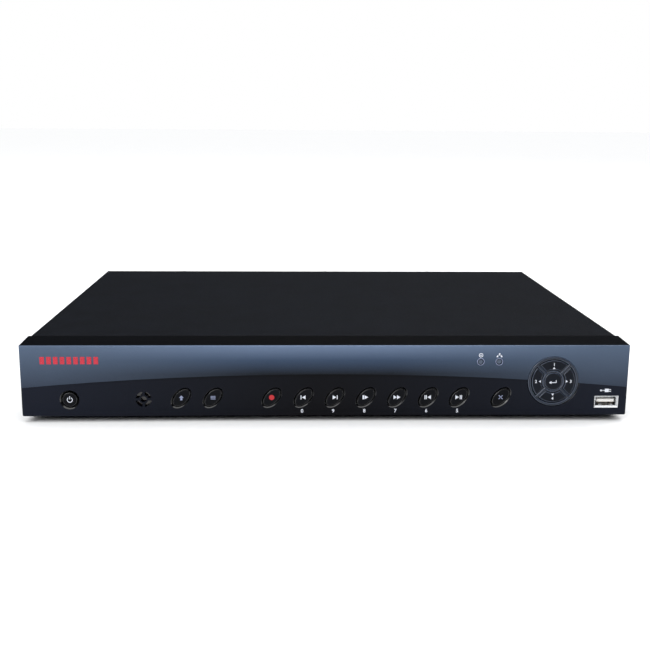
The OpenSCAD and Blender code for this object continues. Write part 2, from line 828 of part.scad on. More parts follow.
module power_capacitors() {
  color([0.12, 0.14, 0.2]) for (i = [0:5])
    translate([mb_left + 22 + i * 12, mb_back - mb_strip + 24, mb_top]) cylinder(r = 4, h = 12);
}

module power_coils() {
  coil_w = 11;
  coil_h = 6;
  color([0.2, 0.2, 0.21]) for (i = [0:3])
    translate([mb_left + 20 + i * 16, mb_back - 52, mb_top]) difference() {
      cube([coil_w, coil_w, coil_h]);
      translate([coil_w / 2, coil_w / 2, coil_h - 1]) cylinder(r = 3.5, h = 1 + cut);
    }
}

module cell_holder() {
  color([0.1, 0.1, 0.11]) translate([cell_x, cell_y, mb_top]) difference() {
    cylinder(r = cell_r + 2, h = 4.5);
    translate([0, 0, cell_floor]) cylinder(r = cell_r + slip, h = cell_t + 2 * cut);
  }
}

module coin_cell() {
  color([0.8, 0.81, 0.82]) translate([cell_x, cell_y, mb_top + cell_floor]) {
    cylinder(r = cell_r, h = cell_t - 0.6);
    cylinder(r = cell_r - 1.2, h = cell_t);
  }
}

// ---------- fan ----------

module fan_frame() {
  y0 = yi - fan_t;
  color([0.08, 0.08, 0.09]) translate([fan_x, 0, fan_z]) {
    plate_y(y0, yi) difference() {
      round_rect(fan_w, fan_w, 3);
      circle(fan_bore, $fn = 96);
      for (x = [-1, 1], z = [-1, 1]) translate([x * fan_w * 0.4, z * fan_w * 0.4]) circle(1.6);
    }
    // motor base on three spokes, at the inner side
    plate_y(y0, y0 + fan_plate_t) {
      difference() { circle(fan_hub); circle(fan_shaft_r + slip); }
      difference() {
        for (a = [90, 210, 330]) rotate(a) translate([0, -1]) square([fan_bore + 0.5, 2]);
        circle(fan_hub - 0.5);
      }
    }
    // bearing tube
    plate_y(y0, y0 + 6) difference() { circle(2.4); circle(fan_shaft_r + slip); }
  }
}

module fan_rotor() {
  y0 = yi - fan_t;
  ya = y0 + fan_plate_t + free;
  yz = yi - 1;
  blade_n = 7;
  color([0.1, 0.1, 0.11]) translate([fan_x, 0, fan_z]) {
    bar_y(fan_shaft_r, y0 + 0.4, yz);
    difference() {
      bar_y(fan_hub - 0.3, ya, yz);
      bar_y(fan_hub - 1.6, ya - cut, yz - 1.2);
    }
    // blades, pitched across the flow
    intersection() {
      difference() {
        bar_y(fan_bore - 0.6, ya, yz);
        bar_y(fan_hub - 0.8, ya - cut, yz + cut);
      }
      for (i = [0:blade_n - 1]) rotate([0, i * 360 / blade_n, 0])
        translate([0, (ya + yz) / 2, fan_bore / 2])
        rotate([0, 0, 38]) cube([0.9, 3 * fan_t, fan_bore], center = true);
    }
  }
}

// ---------- hard drive ----------

module drive_case() {
  top = drive_z + drive_h - lid_t;
  floor_t = 5;
  color([0.66, 0.67, 0.69]) difference() {
    union() {
      difference() {
        block([drive_x - drive_w / 2, drive_y, drive_z], [drive_x + drive_w / 2, drive_y + drive_l, top]);
        // room for the discs, and for the arm behind them
        translate([drive_x, disc_y, drive_z + floor_t]) cylinder(r = disc_r + 1, h = drive_h);
        block([drive_x - disc_r * 0.75, disc_y, drive_z + floor_t],
              [drive_x + disc_r * 0.92, drive_y + drive_l - 6, top + cut]);
      }
      // fixed spindle and arm pivot
      translate([drive_x, disc_y, drive_z + 2]) cylinder(r = spindle_r, h = top - drive_z - 2 - slip);
      translate([pivot_x, pivot_y, drive_z + 2]) cylinder(r = pivot_r, h = top - drive_z - 2 - slip);
    }
    for (h = drive_holes) translate([h[0], h[1], drive_z - cut]) cylinder(r = hole_r, h = 4.5 + cut);
    // recess for the drive's edge connector
    block([plug_x - 21, drive_y + drive_l - 5, drive_z - cut],
          [plug_x + 21, drive_y + drive_l + cut, drive_z + 4]);
  }
}

module drive_cover() {
  color([0.75, 0.76, 0.78]) difference() {
    block([drive_x - drive_w / 2, drive_y, drive_z + drive_h - lid_t],
          [drive_x + drive_w / 2, drive_y + drive_l, drive_z + drive_h]);
    translate([drive_x, disc_y, drive_z + drive_h - 0.5]) difference() {
      cylinder(r = disc_r - 4, h = 1);
      translate([0, 0, -cut]) cylinder(r = hub_r + 4, h = 1 + 2 * cut);
    }
  }
}

module drive_platters() {
  hub_top = disc_z + disc_gap + disc_t + 1.5;
  color([0.85, 0.86, 0.88]) translate([drive_x, disc_y, 0]) difference() {
    union() {
      for (i = [0, 1]) translate([0, 0, disc_z + i * disc_gap]) cylinder(r = disc_r, h = disc_t, $fn = 96);
      translate([0, 0, disc_z - 1.5]) cylinder(r = hub_r, h = hub_top - disc_z + 1.5);
    }
    translate([0, 0, disc_z - cut - 1.5]) cylinder(r = spindle_r + slip, h = drive_h);
  }
}

module drive_arm() {
  blade_t = 1;
  gap_mid = (disc_gap - disc_t - blade_t) / 2;
  color([0.78, 0.79, 0.8]) translate([pivot_x, pivot_y, 0]) difference() {
    union() {
      translate([0, 0, disc_z - 2.2]) cylinder(r = arm_hub_r, h = disc_gap + disc_t + 4.4);
      // three blades, below, between and above the discs
      rotate(arm_rest) for (z = [disc_z - gap_mid - blade_t, disc_z + disc_t + gap_mid,
                                 disc_z + disc_gap + disc_t + gap_mid])
        translate([0, 0, z]) linear_extrude(blade_t)
          polygon([[0, -6], [arm_l - 12, -2.2], [arm_l, -1.4], [arm_l, 1.4], [arm_l - 12, 2.2], [0, 6]]);
      // coil paddle behind the pivot
      rotate(arm_rest + 180) translate([0, 0, disc_z + 1.5]) linear_extrude(3)
        polygon([[0, -5], [19, -10], [22, 0], [19, 10], [0, 5]]);
    }
    translate([0, 0, disc_z - 6]) cylinder(r = pivot_r + slip, h = drive_h);
  }
}

module drive_screws() {
  color([0.5, 0.5, 0.52]) for (h = drive_holes) translate([h[0], h[1], z0]) rotate([90, 0, 0])
    screw_y(drive_z - z0 + 4);
}

// ---------- rear sockets ----------

module video_sockets() {
  color([0.78, 0.78, 0.76]) at_xz(video_spots) {
    difference() {
      union() {
        bar_y(video_r, yi - 3, yp + video_l);
        bar_y(video_r + 1.4, yp, yp + 1.2);
        // two bayonet lugs
        translate([0, yp + video_l - 4, 0]) cylinder(r = 1, h = 2 * video_r + 1.8, center = true);
      }
      bar_y(video_bore, yi - 3 - cut, yp + video_l + cut);
    }
    // centre contact
    difference() {
      bar_y(contact_r, yi - 2, yp + video_l - 4);
      bar_y(contact_r - 0.4, yp + 2, yp + video_l);
    }
  }
}

// The moulded block behind each column, with a sleeve round each centre contact
module video_insulators() {
  half_w = 7.2;
  color([0.1, 0.1, 0.1]) {
    for (i = [0:4]) {
      x = video_x + i * video_pitch;
      rows = i < 4 ? [row_low, row_high] : [row_low];
      difference() {
        block([x - half_w, yi - socket_block_d, mb_top],
              [x + half_w, yi - slip, mb_top + (i < 4 ? socket_block_h : 15)]);
        for (z = rows) translate([x, 0, z]) {
          difference() {
            bar_y(video_r + slip, yi - 3 - slip, yi + cut);
            bar_y(video_bore - slip, yi - 4, yi + cut);
          }
          bar_y(contact_r + slip, yi - 2 - slip, yi + cut);
        }
      }
    }
    at_xz(video_spots) difference() {
      union() {
        bar_y(2.4, yi - 1, yp + video_l - 3);
        bar_y(video_bore - slip, yi - 1, yp + 1);
      }
      bar_y(contact_r + slip, yi - cut - 2, yp + video_l);
    }
  }
}

module audio_sockets() {
  half_w = 6;
  color([0.75, 0.75, 0.72]) {
    for (i = [0:2]) translate([audio_x + i * audio_pitch, 0, 0])
      block([-half_w, yi - socket_block_d, mb_top], [half_w, yi - slip, mb_top + socket_block_h]);
    at_xz(audio_spots) difference() {
      union() {
        bar_y(audio_r, yi - 1, yp + audio_l);
        bar_y(audio_r + 1.1, yp + slip, yp + 0.9);
      }
      bar_y(audio_r - 0.6, yp + audio_l - 1, yp + audio_l + cut);
      bar_y(1.65, yp, yp + audio_l + cut);
    }
  }
}

module d_outline(w, h, taper) {
  polygon([[-w / 2, h / 2], [w / 2, h / 2], [w / 2 - taper, -h / 2], [-w / 2 + taper, -h / 2]]);
}

module monitor_socket() {
  pin_r = 0.6;
  body_d = 12;
  mouth = yp + 6;
  color([0.15, 0.25, 0.6]) translate([monitor_x, 0, monitor_z]) difference() {
    union() {
      plate_y(yi - body_d, yi - 1) square([monitor_w, monitor_h], center = true);
      plate_y(yi - 1.5, yp + 0.4) round_rect(monitor_w, monitor_h, 1);
      plate_y(yi, mouth) d_outline(17.2, 8.4, 1.2);
      translate([-monitor_w / 2, yi - body_d, mb_top - monitor_z]) cube([monitor_w, body_d - 1, 3]);
      // hexagonal jack screws
      for (s = [-1, 1]) translate([s * jack_screw_x, 0, 0])
        plate_y(yi, jack_screw_end) circle(r = 2.9, $fn = 6);
    }
    for (s = [-1, 1]) translate([s * jack_screw_x, 0, 0])
      bar_y(jack_screw_r, yp - 1, jack_screw_end + cut);
    for (r = [-1:1], i = [-2:2]) translate([i * 2.3 + r * 0.6, 0, r * 2])
      bar_y(pin_r, yp + 1, mouth + cut);
  }
}

// Outline of the digital video socket, drawn in by t
module digital_outline(t) {
  w = digital_w / 2 - t;
  h = digital_h / 2 - t;
  corner = 1.8 - t / 3;                     // width of the sloping lower corners
  shoulder = -digital_h / 6 + t / 4;
  polygon([[-w, h], [w, h], [w, shoulder], [w - corner, -h], [-w + corner, -h], [-w, shoulder]]);
}

module digital_video_socket() {
  wall = 0.4;
  back = yp - digital_d;
  color([0.8, 0.81, 0.83]) translate([digital_x, 0, mb_top + digital_h / 2]) {
    plate_y(back, yp + socket_out) difference() { digital_outline(0); digital_outline(wall); }
    translate([-digital_w / 2 + 1, back, -digital_h / 2 + 0.2]) cube([digital_w - 2, 2, digital_h - 0.6]);
    translate([-digital_w / 2 + 2, back + 1, -0.2]) cube([digital_w - 4, digital_d - 1.6, 1.2]);
  }
}

module network_socket() {
  back = yp - plug_way_d;
  front = yp + socket_out + cut;
  color([0.75, 0.76, 0.78]) translate([network_x, 0, mb_top + network_h / 2]) difference() {
    plate_y(yp - network_d, yp + socket_out) square([network_w, network_h], center = true);
    // the plug's way in, with the stepped channel for its latch below
    block([-5.9, back, -3.6], [5.9, front, 4.4]);
    block([-3.2, back, -5.2], [3.2, front, -3.5]);
    block([-1.7, back, -6.2], [1.7, front, -5.1]);
  }
}

module rear_usb_socket() {
  color([0.8, 0.81, 0.83]) translate([usb2_x, yp + socket_out, usb2_z]) rotate([0, 0, 180]) {
    usb_shell_tube(usb2_l);
    usb_tongue(1, usb2_l);
  }
}

module terminal_block() {
  half_w = terminal_w / 2;
  mouth = yp + terminal_out;
  color([0.15, 0.5, 0.25]) translate([terminal_x, 0, mb_top]) difference() {
    block([-half_w, yp - 9, 0], [half_w, mouth, terminal_h]);
    for (i = [0:terminal_n - 1]) translate([(i - (terminal_n - 1) / 2) * terminal_pitch, 0, 0]) {
      // a wire's way in below its screw
      block([-1.25, mouth - 3, 1.2], [1.25, mouth + cut, 3.8]);
      translate([0, mouth - 2.5, 7]) bar_y(1.3, 0, 4);
    }
    // step at the upper edge
    block([-half_w - cut, mouth - 2, terminal_h - 1], [half_w + cut, mouth + cut, terminal_h + cut]);
  }
}

module power_socket() {
  half_w = dc_bore + 1.5;
  mouth = yp + 1;
  color([0.08, 0.08, 0.08]) {
    difference() {
      union() {
        block([dc_x - half_w, yp - dc_plug_d - 4, mb_top], [dc_x + half_w, yi - slip, mb_top + 11]);
        translate([dc_x, 0, dc_z]) bar_y(dc_bore + dc_wall, yi - 1, mouth);
      }
      translate([dc_x, 0, dc_z]) bar_y(dc_bore, yp - dc_plug_d, mouth + cut);
    }
    // centre pin
    translate([dc_x, 0, dc_z]) bar_y(1, yp - dc_plug_d - cut, yp - 0.5);
  }
}

// ---------- power rocker ----------

module rocker_housing() {
  flange_t = 1.6;
  body_d = 13;
  tab = [4.8, 7.5, 0.8];
  color([0.07, 0.07, 0.07]) translate([rocker_x, 0, rocker_z]) difference() {
    union() {
      plate_y(yp, yp + flange_t) round_rect(rocker_w + 1.6, rocker_h + 2, 1);
      plate_y(yi - body_d, yp + eps) square([rocker_w, rocker_h], center = true);
      for (x = [-5, 5]) translate([x - tab[0] / 2, yi - body_d - 7, -tab[2] / 2]) cube(tab);
    }
    block([-rocker_room, rocker_py - 5.2, -rocker_h / 2 + 1], [rocker_room, yp + 3, rocker_h / 2 - 1]);
    translate([0, rocker_py, 0]) cylinder(r = rocker_pin + slip, h = rocker_h - 0.6, center = true);
  }
}

module power_rocker() {
  h = rocker_h - 2.8;
  color([0.1, 0.1, 0.1]) translate([rocker_x, rocker_py, rocker_z]) rotate([0, 0, -rocker_tilt]) {
    translate([0, 0, -h / 2]) linear_extrude(h) polygon([
      [-rocker_half, 4.1], [-rocker_half / 2, 3.1], [0, 2.8], [rocker_half / 2, 3.1], [rocker_half, 4.1],
      [rocker_half, 0], [3, -3], [-3, -3], [-rocker_half, 0]]);
    cylinder(r = rocker_pin, h = rocker_h - 0.8, center = true);
  }
}

// ---------- leads ----------

// A flat lead: its middle line is a list of [y, z] points, given thickness and width
module flat_lead(path, t, xa, xz) {
  n = len(path) - 1;
  side = [for (i = [0:n]) let (a = path[max(0, i - 1)], b = path[min(n, i + 1)], d = (b - a) / norm(b - a))
          [-d[1], d[0]] * t / 2];
  bar_x(xa, xz) polygon(concat([for (i = [0:n]) path[i] + side[i]],
                               [for (i = [n:-1:0]) path[i] - side[i]]));
}

module key_ribbon() {
  half_w = 8;
  plug_half = half_w + 1;
  ya = yk + board_t;
  zh = ribbon_z;
  color([0.6, 0.62, 0.65]) {
    // plug on the key board, ribbon, and plug on the main board
    block([ribbon_x - plug_half, ya, zh - 2.5], [ribbon_x + plug_half, ya + 5, zh + 2.5]);
    flat_lead([[ya + 5 - eps, zh], [yb + 4, zh], [yb + 30, zh - 3], [mb_front - 6, zh - 3],
               [mb_front + 3, zh - 2.5], [mb_front + 9, zh - 4], [mb_front + 12, zh - 6],
               [mb_front + 12, mb_top + 6 - eps]], 0.9, ribbon_x - half_w, ribbon_x + half_w);
    block([ribbon_x - plug_half, mb_front + 9, mb_top], [ribbon_x + plug_half, mb_front + 15, mb_top + 6]);
  }
}

module drive_cable() {
  half_w = 19;
  plug_half = half_w + 1;
  yd = drive_y + drive_l;
  ye = mb_back - mb_strip + 8;
  color([0.65, 0.1, 0.1]) {
    block([plug_x - plug_half, yd - 4.8, drive_z + 0.2], [plug_x + plug_half, yd + 5, drive_z + 3.8]);
    flat_lead([[yd + 5 - eps, drive_z + 2], [yd + 7, drive_z + 3.5], [yd + 8, drive_z + 8],
               [ye - 4, mb_top + 12], [ye, mb_top + 11], [ye + 1.5, mb_top + 8],
               [ye + 1.5, mb_top + 5 - eps]], 1.4, plug_x - half_w, plug_x + half_w);
    block([plug_x - plug_half, ye - 1.5, mb_top], [plug_x + plug_half, ye + 4.5, mb_top + 5]);
  }
}

base_tray();
rear_panel();
top_cover();
front_bezel();
fascia_band();
direction_ring();
rubber_feet();
case_screws();
power_button();
shift_button();
function_button();
record_button();
previous_button();
next_button();
slow_button();
fast_button();
reverse_button();
play_button();
escape_button();
up_key();
left_key();
right_key();
down_key();
enter_button();
receiver_window();
light_pipes();
key_board();
key_switches();
indicator_leds();
infrared_receiver();
front_usb_shell();
front_usb_tongue();
main_board();
board_screws();
heat_sink();
circuit_chips();
power_capacitors();
power_coils();
coin_cell();
cell_holder();
fan_frame();
fan_rotor();
drive_case();
drive_cover();
drive_platters();
drive_arm();
drive_screws();
video_sockets();
video_insulators();
audio_sockets();
monitor_socket();
digital_video_socket();
network_socket();
rear_usb_socket();
terminal_block();
power_socket();
rocker_housing();
power_rocker();
key_ribbon();
drive_cable();
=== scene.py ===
"""Looks of a desktop video recorder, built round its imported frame.

Every length is in metres in the frame's own axes: X to the right, Y to the rear, Z up. Sizes that
a maker would quote are written in millimetres and pass through mm().
"""
import logging
import math
from dataclasses import dataclass, field, replace
from enum import Enum
from typing import Callable, Iterable, Optional, Sequence

import bmesh
import bpy
from mathutils import Matrix, Vector
from mathutils.bvhtree import BVHTree


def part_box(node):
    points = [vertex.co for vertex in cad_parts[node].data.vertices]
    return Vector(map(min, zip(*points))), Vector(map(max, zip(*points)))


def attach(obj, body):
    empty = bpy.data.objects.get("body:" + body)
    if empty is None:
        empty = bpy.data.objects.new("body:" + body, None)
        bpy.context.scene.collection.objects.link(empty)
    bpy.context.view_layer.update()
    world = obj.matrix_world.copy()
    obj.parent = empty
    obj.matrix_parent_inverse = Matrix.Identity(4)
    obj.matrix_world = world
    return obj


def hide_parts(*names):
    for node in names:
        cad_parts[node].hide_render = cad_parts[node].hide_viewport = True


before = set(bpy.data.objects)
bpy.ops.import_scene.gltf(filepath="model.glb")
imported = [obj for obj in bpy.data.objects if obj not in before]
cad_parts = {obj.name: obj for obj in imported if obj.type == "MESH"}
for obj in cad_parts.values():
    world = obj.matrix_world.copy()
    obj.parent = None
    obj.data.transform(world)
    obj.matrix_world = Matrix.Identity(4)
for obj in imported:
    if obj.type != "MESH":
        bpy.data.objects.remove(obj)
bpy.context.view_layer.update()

Tree = bpy.types.NodeTree
Socket = bpy.types.NodeSocket
Settings = Optional[dict[object, object]]
Shape = bmesh.types.BMesh
Edge = bmesh.types.BMEdge
Piece = bpy.types.Object
Span = tuple[float, float]
Triple = tuple[float, float, float]
Chooser = Callable[[Edge], bool]

LOG = logging.getLogger("recorder")
CASE = "case"
TOUCH = 1e-5  # places closer than this are the same
MERGE = 1e-6  # corners closer than this are one
FLAT = math.radians(0.4)  # faces that meet at less are one
CREASE = math.radians(30)  # edges that turn less are never rounded
CRISP = math.radians(38)  # edges that turn more are shaded sharp
X_AXIS, Y_AXIS, Z_AXIS = range(3)


def mm(value: float) -> float:
    """Returns a length in metres, given in millimetres."""
    return value * 0.001


def linear(code: str) -> tuple[float, float, float, float]:
    """Turns an sRGB hex colour into linear light.

    Args:
        code: Six hex digits after a #.

    Returns:
        Red, green, blue and alpha for a colour socket.
    """
    parts = [int(code[i : i + 2], 16) / 255 for i in (1, 3, 5)]
    light = [c / 12.92 if c <= 0.04045 else ((c + 0.055) / 1.055) ** 2.4 for c in parts]
    return (light[0], light[1], light[2], 1.0)


@dataclass(frozen=True)
class Box:
    """The place of a frame node: its lowest and highest corners."""

    lo: Vector
    hi: Vector

    @classmethod
    def of(cls, node: str) -> "Box":
        """Returns the box of a node."""
        return cls(*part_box(node))

    @property
    def mid(self) -> Vector:
        """The middle of the box."""
        return (self.lo + self.hi) / 2


# ---------------------------------------------------------------- finishes


def add_node(
    tree: Tree, kind: str, props: Settings = None, values: Settings = None, links: Settings = None
) -> bpy.types.Node:
    """Adds one shader node with its settings and links.

    Args:
        tree: The node tree it goes in.
        kind: Its Blender type name after ShaderNode.
        props: Properties of the node itself.
        values: Constants for its input sockets, by name or index.
        links: Output sockets that feed its inputs, by name or index.

    Returns:
        The new node.
    """
    node = tree.nodes.new("ShaderNode" + kind)
    for name, value in (props or {}).items():
        setattr(node, name, value)
    for name, value in (values or {}).items():
        node.inputs[name].default_value = value
    for name, socket in (links or {}).items():
        tree.links.new(socket, node.inputs[name])
    return node


def blend_colours(tree: Tree, share: Socket, first: object, second: object) -> Socket:
    """Mixes two colours, each a hex code or a socket.

    Args:
        tree: The node tree.
        share: How much of the second colour, from 0 to 1.
        first: The colour where share is 0.
        second: The colour where share is 1.

    Returns:
        The mixed colour's socket.
    """
    node = add_node(tree, "Mix", {"data_type": "RGBA"}, links={0: share})
    for place, colour in ((6, first), (7, second)):
        if isinstance(colour, str):
            node.inputs[place].default_value = linear(colour)
        else:
            tree.links.new(colour, node.inputs[place])
    return node.outputs[2]


def ramp(
    tree: Tree, value: Socket, low: float, high: float, to_low: float = 0.0, to_high: float = 1.0
) -> Socket:
    """Maps a value from one range to another, held at the ends.

    Args:
        tree: The node tree.
        value: The socket to map.
        low: The value that gives to_low.
        high: The value that gives to_high.
        to_low: Result at the low end.
        to_high: Result at the high end.

    Returns:
        The mapped socket.
    """
    limits = {"From Min": low, "From Max": high, "To Min": to_low, "To Max": to_high}
    return add_node(tree, "MapRange", {"clamp": True}, limits, {"Value": value}).outputs["Result"]


@dataclass(frozen=True)
class Finish:
    """A solid material with a fine grain: the base of every finish.

    Attributes:
        name: The material's common name and how its surface was made.
        base: Main colour.
        tone: Colour that the grain wanders to.
        metallic: 1 for bare metal.
        roughness: Middle roughness.
        swing: How far the grain moves the roughness either way.
        specular: Specular level; 0.5 is a plain dielectric.
        grain: Size of the grain in millimetres.
        bump: Height of the grain in millimetres.
        clear: Transmission, for clear plastics.
        blotch: Size of the slow blotches, as a multiple of the grain.
    """

    name: str
    base: str
    tone: str
    metallic: float = 0.0
    roughness: float = 0.4
    swing: float = 0.06
    specular: float = 0.5
    grain: float = 0.4
    bump: float = 0.003
    clear: float = 0.0
    blotch: float = 20.0

    def grain_of(self, tree: Tree, place: Socket) -> Socket:
        """Makes the grain.

        Args:
            tree: The node tree.
            place: Object coordinates.

        Returns:
            The grain as a value from 0 to 1.
        """
        settings = {"Scale": 1 / mm(self.grain), "Detail": 3.0, "Roughness": 0.55}
        noise = add_node(tree, "TexNoise", {}, settings, {"Vector": place})
        # noise seldom leaves the middle of its range
        return ramp(tree, noise.outputs["Fac"], 0.3, 0.7)

    def colour_of(self, tree: Tree, place: Socket, grain: Socket) -> Socket:
        """Makes the colour: the grain over slow blotches.

        Args:
            tree: The node tree.
            place: Object coordinates.
            grain: The grain's value.

        Returns:
            The colour.
        """
        settings = {"Scale": 1 / mm(self.grain * self.blotch), "Detail": 2.0}
        slow = add_node(tree, "TexNoise", {}, settings, {"Vector": place}).outputs["Fac"]
        both = add_node(tree, "Math", {"operation": "MULTIPLY"}, {}, {0: grain, 1: slow})
        return blend_colours(tree, ramp(tree, both.outputs[0], 0.1, 0.6), self.base, self.tone)

    def material(self) -> bpy.types.Material:
        """Makes the Blender material once, and then shares it.

        Returns:
            The material.
        """
        known = bpy.data.materials.get(self.name)
        if known is not None:
            return known
        made = bpy.data.materials.new(self.name)
        made.use_nodes = True
        tree = made.node_tree
        tree.nodes.clear()
        place = add_node(tree, "TexCoord").outputs["Object"]
        grain = self.grain_of(tree, place)
        smoothest = max(0.02, self.roughness - self.swing)
        rough = ramp(tree, grain, 0, 1, smoothest, self.roughness + self.swing)
        height = {"Strength": 1.0, "Distance": mm(self.bump)}
        bump = add_node(tree, "Bump", {}, height, {"Height": grain}).outputs["Normal"]
        constants = {
            "Metallic": self.metallic,
            "Specular IOR Level": self.specular,
            "Transmission Weight": self.clear,
        }
        colour = self.colour_of(tree, place, grain)
        patterns = {"Base Color": colour, "Roughness": rough, "Normal": bump}
        shader = add_node(tree, "BsdfPrincipled", {}, constants, patterns)
        add_node(tree, "OutputMaterial", links={"Surface": shader.outputs["BSDF"]})
        return made


@dataclass(frozen=True)
class PaintedShadeLacquer(Finish):
    """Colour that fades down the front, more strongly in the middle than at both ends.

    The fade is painted light and shade. The base is the colour at the top of the middle, and the tone
    is that of the fine flake.

    Attributes:
        half_way: Colour half way down the middle.
        low: Colour at the bottom of the middle.
        end_top: Colour at the top of both ends.
        end_low: Colour at the bottom of both ends.
        top: Height where the fade begins, in millimetres.
        middle_drop: How far down the fade ends in the middle, in millimetres.
        end_drop: How far down it ends at both ends, in millimetres.
        flake: Share of the flake, from 0 to 1.
        reach: Distances from the middle between which the ends take over, in millimetres.
    """

    half_way: str = "#000000"
    low: str = "#000000"
    end_top: str = "#000000"
    end_low: str = "#000000"
    top: float = 48.0
    middle_drop: float = 17.0
    end_drop: float = 26.0
    flake: float = 0.05
    reach: Span = (50.0, 180.0)

    def colour_of(self, tree: Tree, place: Socket, grain: Socket) -> Socket:
        """Makes the fading colour, with a little of the grain as flake.

        Args:
            tree: The node tree.
            place: Object coordinates.
            grain: The grain's value.

        Returns:
            The colour.
        """
        # the fade worked out below is painted light and shade: lighter at the top, darker lower down
        axes = add_node(tree, "SeparateXYZ", links={0: place}).outputs
        top, bend = mm(self.top), mm(self.top - self.middle_drop / 2)
        upper = ramp(tree, axes["Z"], bend, top)
        lower = ramp(tree, axes["Z"], bend, mm(self.top - self.middle_drop))
        below = blend_colours(tree, lower, self.half_way, self.low)
        middle = blend_colours(tree, upper, below, self.base)
        fall = ramp(tree, axes["Z"], top, mm(self.top - self.end_drop))
        end = blend_colours(tree, fall, self.end_top, self.end_low)
        out = add_node(tree, "Math", {"operation": "ABSOLUTE"}, {}, {0: axes["X"]})
        share = ramp(tree, out.outputs[0], mm(self.reach[0]), mm(self.reach[1]))
        faded = blend_colours(tree, share, middle, end)
        return blend_colours(tree, ramp(tree, grain, 0, 1, 0.0, self.flake), faded, self.tone)


@dataclass(frozen=True)
class SpangledZinc(Finish):
    """Hot-dip zinc on sheet steel: flat crystals that catch the light one by one.

    Attributes:
        crystal: Size of a crystal in millimetres.
        fine: Share of the fine rolling grain, from 0 to 1.
    """

    crystal: float = 5.0
    fine: float = 0.3

    def grain_of(self, tree: Tree, place: Socket) -> Socket:
        """Makes the crystals, with fine rolling grain in them.

        Args:
            tree: The node tree.
            place: Object coordinates.

        Returns:
            One value per crystal, from 0 to 1.
        """
        size = {"Scale": 1 / mm(self.crystal)}
        cells = add_node(tree, "TexVoronoi", {"feature": "F1"}, size, {"Vector": place})
        grey = add_node(tree, "SeparateColor", links={0: cells.outputs["Color"]}).outputs[0]
        both = {2: grey, 3: super().grain_of(tree, place)}
        return add_node(tree, "Mix", {"data_type": "FLOAT"}, {0: self.fine}, both).outputs[0]


@dataclass(frozen=True)
class DrawnMetal(Finish):
    """Metal drawn, turned or rolled along one axis: hair lines lie along it.

    Attributes:
        along: How much each axis is squeezed; the lines run along the smallest.
    """

    along: Triple = (1.0, 0.04, 1.0)

    def grain_of(self, tree: Tree, place: Socket) -> Socket:
        """Makes the hair lines.

        Args:
            tree: The node tree.
            place: Object coordinates.

        Returns:
            The hair lines as a value from 0 to 1.
        """
        squeezed = add_node(tree, "Mapping", {}, {"Scale": self.along}, {"Vector": place})
        return super().grain_of(tree, squeezed.outputs["Vector"])


@dataclass(frozen=True)
class BoardLacquer(Finish):
    """Solder mask over copper: runs of track show as lighter lines.

    Attributes:
        track: Pitch of the tracks in millimetres.
        run: Length of a run, in pitches.
        gap: Width of a track, in pitches.
        stagger: How far every other row is shifted, in runs.
    """

    track: float = 2.5
    run: float = 9.0
    gap: float = 0.12
    stagger: float = 0.37

    def grain_of(self, tree: Tree, place: Socket) -> Socket:
        """Makes the tracks.

        Args:
            tree: The node tree.
            place: Object coordinates.

        Returns:
            The tracks as a value from 0 to 1.
        """
        sizes = {
            "Scale": 1.0,
            "Brick Width": mm(self.track * self.run),
            "Row Height": mm(self.track),
            "Mortar Size": mm(self.track * self.gap),
        }
        tracks = add_node(tree, "TexBrick", {"offset": self.stagger}, sizes, {"Vector": place})
        return tracks.outputs["Fac"]


# Powder coat on steel, baked: a matte black with a fine orange peel under a millimetre across.
POWDER_BLACK = Finish(
    "powder_coated_steel_matte_black", "#080a0f", "#10131a", roughness=0.62, swing=0.08,
    specular=0.05, grain=0.7, bump=0.05,
)
# The rear panel has the same coat over its zinc.
PANEL_BLACK = replace(
    POWDER_BLACK, name="powder_coated_steel_rear_panel", base="#14161a", tone="#1c1f24",
    roughness=0.55, specular=0.25,
)
# Zinc cools in flat crystals, so the tray shows a patchwork of greys.
ZINC_SHEET = SpangledZinc(
    "hot_dip_zinc_sheet_spangled", "#9a9da0", "#c4c7c9", metallic=1.0, roughness=0.38, swing=0.1,
    bump=0.004,
)
# ABS moulded in a polished tool: near black with a blue cast, a little lighter at both ends.
# Its colour is painted shade in the middle below the band's step, with painted light at both ends.
BEZEL_BLACK_PAINTED_SHADE = PaintedShadeLacquer(
    "abs_moulded_satin_blue_black_painted_shade", base="#020203", tone="#181b24", half_way="#08090e",
    low="#06060a", end_top="#030407", end_low="#131722", top=47.0, middle_drop=40.0, end_drop=14.0,
    reach=(10.0, 175.0), roughness=0.3, swing=0.03, specular=0.07, grain=0.35, bump=0.002,
)
# A pale painted highlight along the rounding of the band's crest.
CREST_PAINTED_HIGHLIGHT = Finish(
    "lacquer_crest_painted_highlight", "#c3ccda", "#d2d9e4", roughness=0.25, swing=0.04, grain=0.2,
    bump=0.0,
)
# Blue-grey lacquer on the hollowed band: painted highlight along the top, painted shade by the step.
BAND_LACQUER_PAINTED_LIGHT = PaintedShadeLacquer(
    "lacquer_blue_grey_band_painted_light", base="#5e6e87", tone="#8090a9", half_way="#303f55",
    low="#060a11", end_top="#4a586c", end_low="#2a3240", reach=(40.0, 170.0), roughness=0.32,
    swing=0.03, specular=0.1, grain=0.12, bump=0.001,
)
# Keys are satin, so their faces stay dark and their signs stand out.
KEY_BLACK = Finish(
    "abs_moulded_key_black", "#040509", "#0a0c12", roughness=0.36, swing=0.04, specular=0.08,
    grain=0.3, bump=0.002,
)
# The pad's keys have a bluer cast than the others.
PAD_KEY_BLACK = replace(
    KEY_BLACK, name="abs_moulded_pad_key_blue_black", base="#0a0e16", tone="#10151f",
    roughness=0.34, specular=0.1,
)
# Edges come from the polished part of the tool, so they catch the light as thin bright lines.
EDGE_GLOSS = Finish(
    "abs_moulded_polished_edge", "#030406", "#08090c", roughness=0.2, swing=0.03, specular=0.8,
    grain=0.3, bump=0.0,
)
